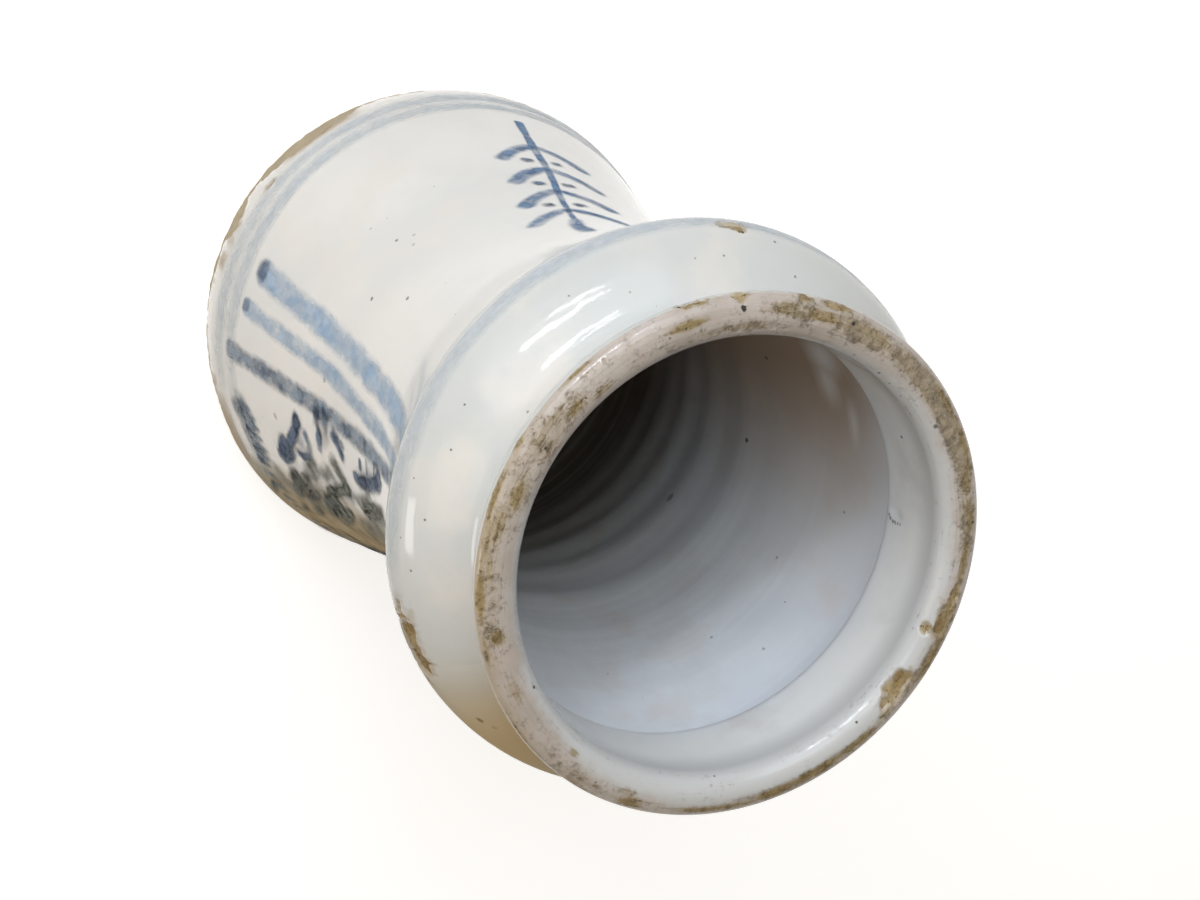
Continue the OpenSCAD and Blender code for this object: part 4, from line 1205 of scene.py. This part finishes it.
def paintStrokes(node, slot, strokes, lift=0, taper=(1.0, 1.0), hollow=0.0):
    seed = panel["seed"] + len(camel(node))
    grids = []
    for number, (points, width, dose) in enumerate(bothSides(strokes, seed)):
        grids.append(strokeGrid(points, width, lift + number, seed + number, slot, dose, taper, hollow))
    strokesPiece(node, slot, grids)


paintStrokes("broad_stripes", "pale_blue_paint", panel["broad"])
paintStrokes("slim_stripes", "pale_blue_paint", panel["slim"])
paintStrokes("dark_stripes", "grey_blue_paint", panel["dark"])
paintStrokes("stripe_beads", "deep_blue_paint", panel["beads"], 4, hollow=0.6)
paintStrokes("flower_dabs", "deep_blue_paint", panel["flowers"], 4, (1.0, 0.8))
paintStrokes("leaf_dabs", "leaf_paint", panel["leaves"], 3, (1.0, 0.75))
paintStrokes("grass_tufts", "grey_blue_paint", panel["grass"], 2, (1.0, 0.6))

# a plain sprig: a bending stem, leaves in pairs with one at the top, and berries
sprig = {
    "angle": -62.0,
    "height": 31.8,
    "stem": [(0.0, 0.9), (3.0, 33.0), (9.0, 66.0)],    # millimetres across and up
    "stemWidth": 1.9,
    "pairs": (0.24, 0.46, 0.68, 0.88),
    "leafLength": 12.5,
    "leafWidth": 4.6,
    "leafSpread": 48.0,
    "leafBend": 0.7,
    "topTurn": 80.0,
    "leafGap": 1.5,
    "berrySteps": (0.4, 0.62, 0.83),
    "berrySize": 3.0,
    "berryDab": 0.7,
    "berryStand": 3.6,
    "seed": 90,
}


def sprigPoint(x, y):
    z = sprig["height"] + y
    r = float(radiusAt(outsideAt(z)))
    return (sprig["angle"] + math.degrees(math.asin(x / r)), z)


def stemAt(share):
    stem = np.array(sprig["stem"])
    return np.array([np.interp(share * 2, (0, 1, 2), stem[:, k]) for k in (0, 1)])


def sprigLeaf(share, turn, order):
    way = np.array([math.cos(math.radians(turn)), math.sin(math.radians(turn))])
    side = np.array([way[1], -way[0]]) * (sprig["leafBend"] if turn < 90 else -sprig["leafBend"])
    foot = stemAt(share) + way * sprig["leafGap"]
    tip = foot + way * sprig["leafLength"]
    points = [sprigPoint(*spot) for spot in (foot, (foot + tip) / 2 + side, tip)]
    seed = sprig["seed"] + order
    return strokeGrid(points, sprig["leafWidth"], order, seed, "sprig_paint", 0.85, (0.7, 0.9))


def makeSprig():
    line = [sprigPoint(*stemAt(share)) for share in (0, 0.25, 0.5, 0.75, 1)]
    stem = strokeGrid(line, sprig["stemWidth"], 0, sprig["seed"], "sprig_paint", 0.95, (1.2, 0.8))
    strokesPiece("sprig_stem", "sprig_paint", [stem])
    turnsOut = [90 + side * sprig["leafSpread"] for side in (-1, 1)]
    leaves = [(share, turn) for share in sprig["pairs"] for turn in turnsOut] + [(1.0, sprig["topTurn"])]
    strokesPiece("sprig_leaves", "sprig_paint", [sprigLeaf(*leaf, 1 + i) for i, leaf in enumerate(leaves)])
    berries = []
    for i, share in enumerate(sprig["berrySteps"]):
        for side in (-1, 1):
            x, y = stemAt(share) + (side * sprig["berryStand"], 0)
            ends = [sprigPoint(x, y + dab) for dab in (-sprig["berryDab"], sprig["berryDab"])]
            seed = sprig["seed"] + 20 + 2 * i + side
            berries.append(strokeGrid(ends, sprig["berrySize"], 2 + i, seed, "deep_blue_paint", 0.9))
    strokesPiece("sprig_berries", "deep_blue_paint", berries)


makeSprig()

# floor, light and camera

stage = {
    "floorSize": 3.0,
    "floorDrop": 0.0001,
    "floorTone": tone(222, 220, 216),
    "floorGlow": 0.68,
    "worldTone": tone(244, 230, 210),
    "worldLevel": 0.2,
    "camera": (0.0, -0.20762, 0.490975),
    "cameraRight": (-0.62502, 0.68213, 0.37954),
    "cameraUp": (-0.78061, -0.54674, -0.30287),
    "cameraBack": (0.00091, -0.48557, 0.8742),
    "lens": 61.74,
    # azimuth from the front, elevation, distance, width, height, watts, colour
    "lamps": {
        "window": (-28, 41, 0.9, 1.1, 0.9, 3.6, tone(210, 230, 255)),
        "paneUpper": (-28.5, 37.4, 0.88, 0.13, 0.014, 0.2, tone(246, 250, 255)),
        "paneRight": (-38.5, 35.0, 0.88, 0.13, 0.012, 0.17, tone(246, 250, 255)),
        "paneLower": (-33, 31.4, 0.88, 0.26, 0.011, 0.32, tone(246, 250, 255)),
        "paneEnd": (-17.5, 37.0, 0.88, 0.16, 0.036, 0.7, tone(246, 250, 255)),
        "skySoft": (-28, 48, 0.9, 1.0, 0.6, 2.4, tone(249, 251, 255)),
        "topSoft": (-30, 70, 1.1, 0.6, 0.6, 0.76, tone(255, 236, 178)),
        "sideSoft": (40, 36, 1.1, 0.5, 0.5, 1.16, tone(255, 233, 200)),
        "leftLow": (54, 0, 1.1, 0.3, 0.3, 1.62, tone(255, 250, 248)),
    },
}


# 1 for what is seen by the camera, in gloss or through glass
def seenBy(tree):
    path = addNode(tree, "ShaderNodeLightPath").outputs
    return most(path["Is Camera Ray"], path["Is Glossy Ray"], path["Is Transmission Ray"])


def makeFloor():
    half = stage["floorSize"] / 2
    low = -stage["floorDrop"]
    corners = [(x * half, y * half, low) for x, y in ((-1, -1), (1, -1), (1, 1), (-1, 1))]
    mesh = bpy.data.meshes.new("floor")
    mesh.from_pydata(corners, [], [(0, 1, 2, 3)])
    floor = bpy.data.objects.new("floor", mesh)
    scene.collection.objects.link(floor)
    finish, tree, shader = newFinish(
        "paleFloor", Roughness=0.9, Base_Color=stage["floorTone"], Specular_IOR_Level=0.0)
    glow = addNode(tree, "ShaderNodeEmission", {"Strength": times(seenBy(tree), stage["floorGlow"])})
    both = addNode(tree, "ShaderNodeAddShader", {0: shader.outputs[0], 1: glow.outputs[0]})
    feed(tree.nodes["Material Output"].inputs, Surface=both.outputs[0])
    mesh.materials.append(finish)


def makeWorld():
    world = bpy.data.worlds.new("studio")
    scene.world = world
    world.use_nodes = True
    seen = seenBy(world.node_tree)
    colour = blend(seen, stage["worldTone"], (1.0, 1.0, 1.0, 1.0))
    level = ramp(seen, 0.0, 1.0, stage["worldLevel"], 1.0)
    feed(world.node_tree.nodes["Background"].inputs, Color=colour, Strength=level)


def makeLamps():
    for name, (azimuth, elevation, away, width, height, watts, colour) in stage["lamps"].items():
        a = math.radians(azimuth)
        e = math.radians(elevation)
        back = Vector((math.sin(a) * math.cos(e), -math.cos(a) * math.cos(e), math.sin(e)))
        data = bpy.data.lights.new(name, "AREA")
        data.shape = "RECTANGLE"
        data.size = width
        data.size_y = height
        data.energy = watts
        data.color = colour[:3]
        lamp = bpy.data.objects.new(name, data)
        lamp.location = Vector((0, 0, jar["height"] * mm / 2)) + back * away
        lamp.rotation_euler = back.to_track_quat("Z", "Y").to_euler()
        lamp.visible_camera = False
        scene.collection.objects.link(lamp)


def makeCamera():
    data = bpy.data.cameras.new("camera")
    data.sensor_width = 36.0
    data.lens = stage["lens"]
    data.clip_start = 0.01
    camera = bpy.data.objects.new("camera", data)
    columns = [stage[key] for key in ("cameraRight", "cameraUp", "cameraBack", "camera")]
    camera.matrix_world = Matrix([*zip(*columns), (0, 0, 0, 1)])
    scene.collection.objects.link(camera)
    scene.camera = camera


makeFloor()
makeWorld()
makeLamps()
makeCamera()
scene.view_settings.view_transform = "Standard"
print("stage ready:", len(stage["lamps"]), "lamps")
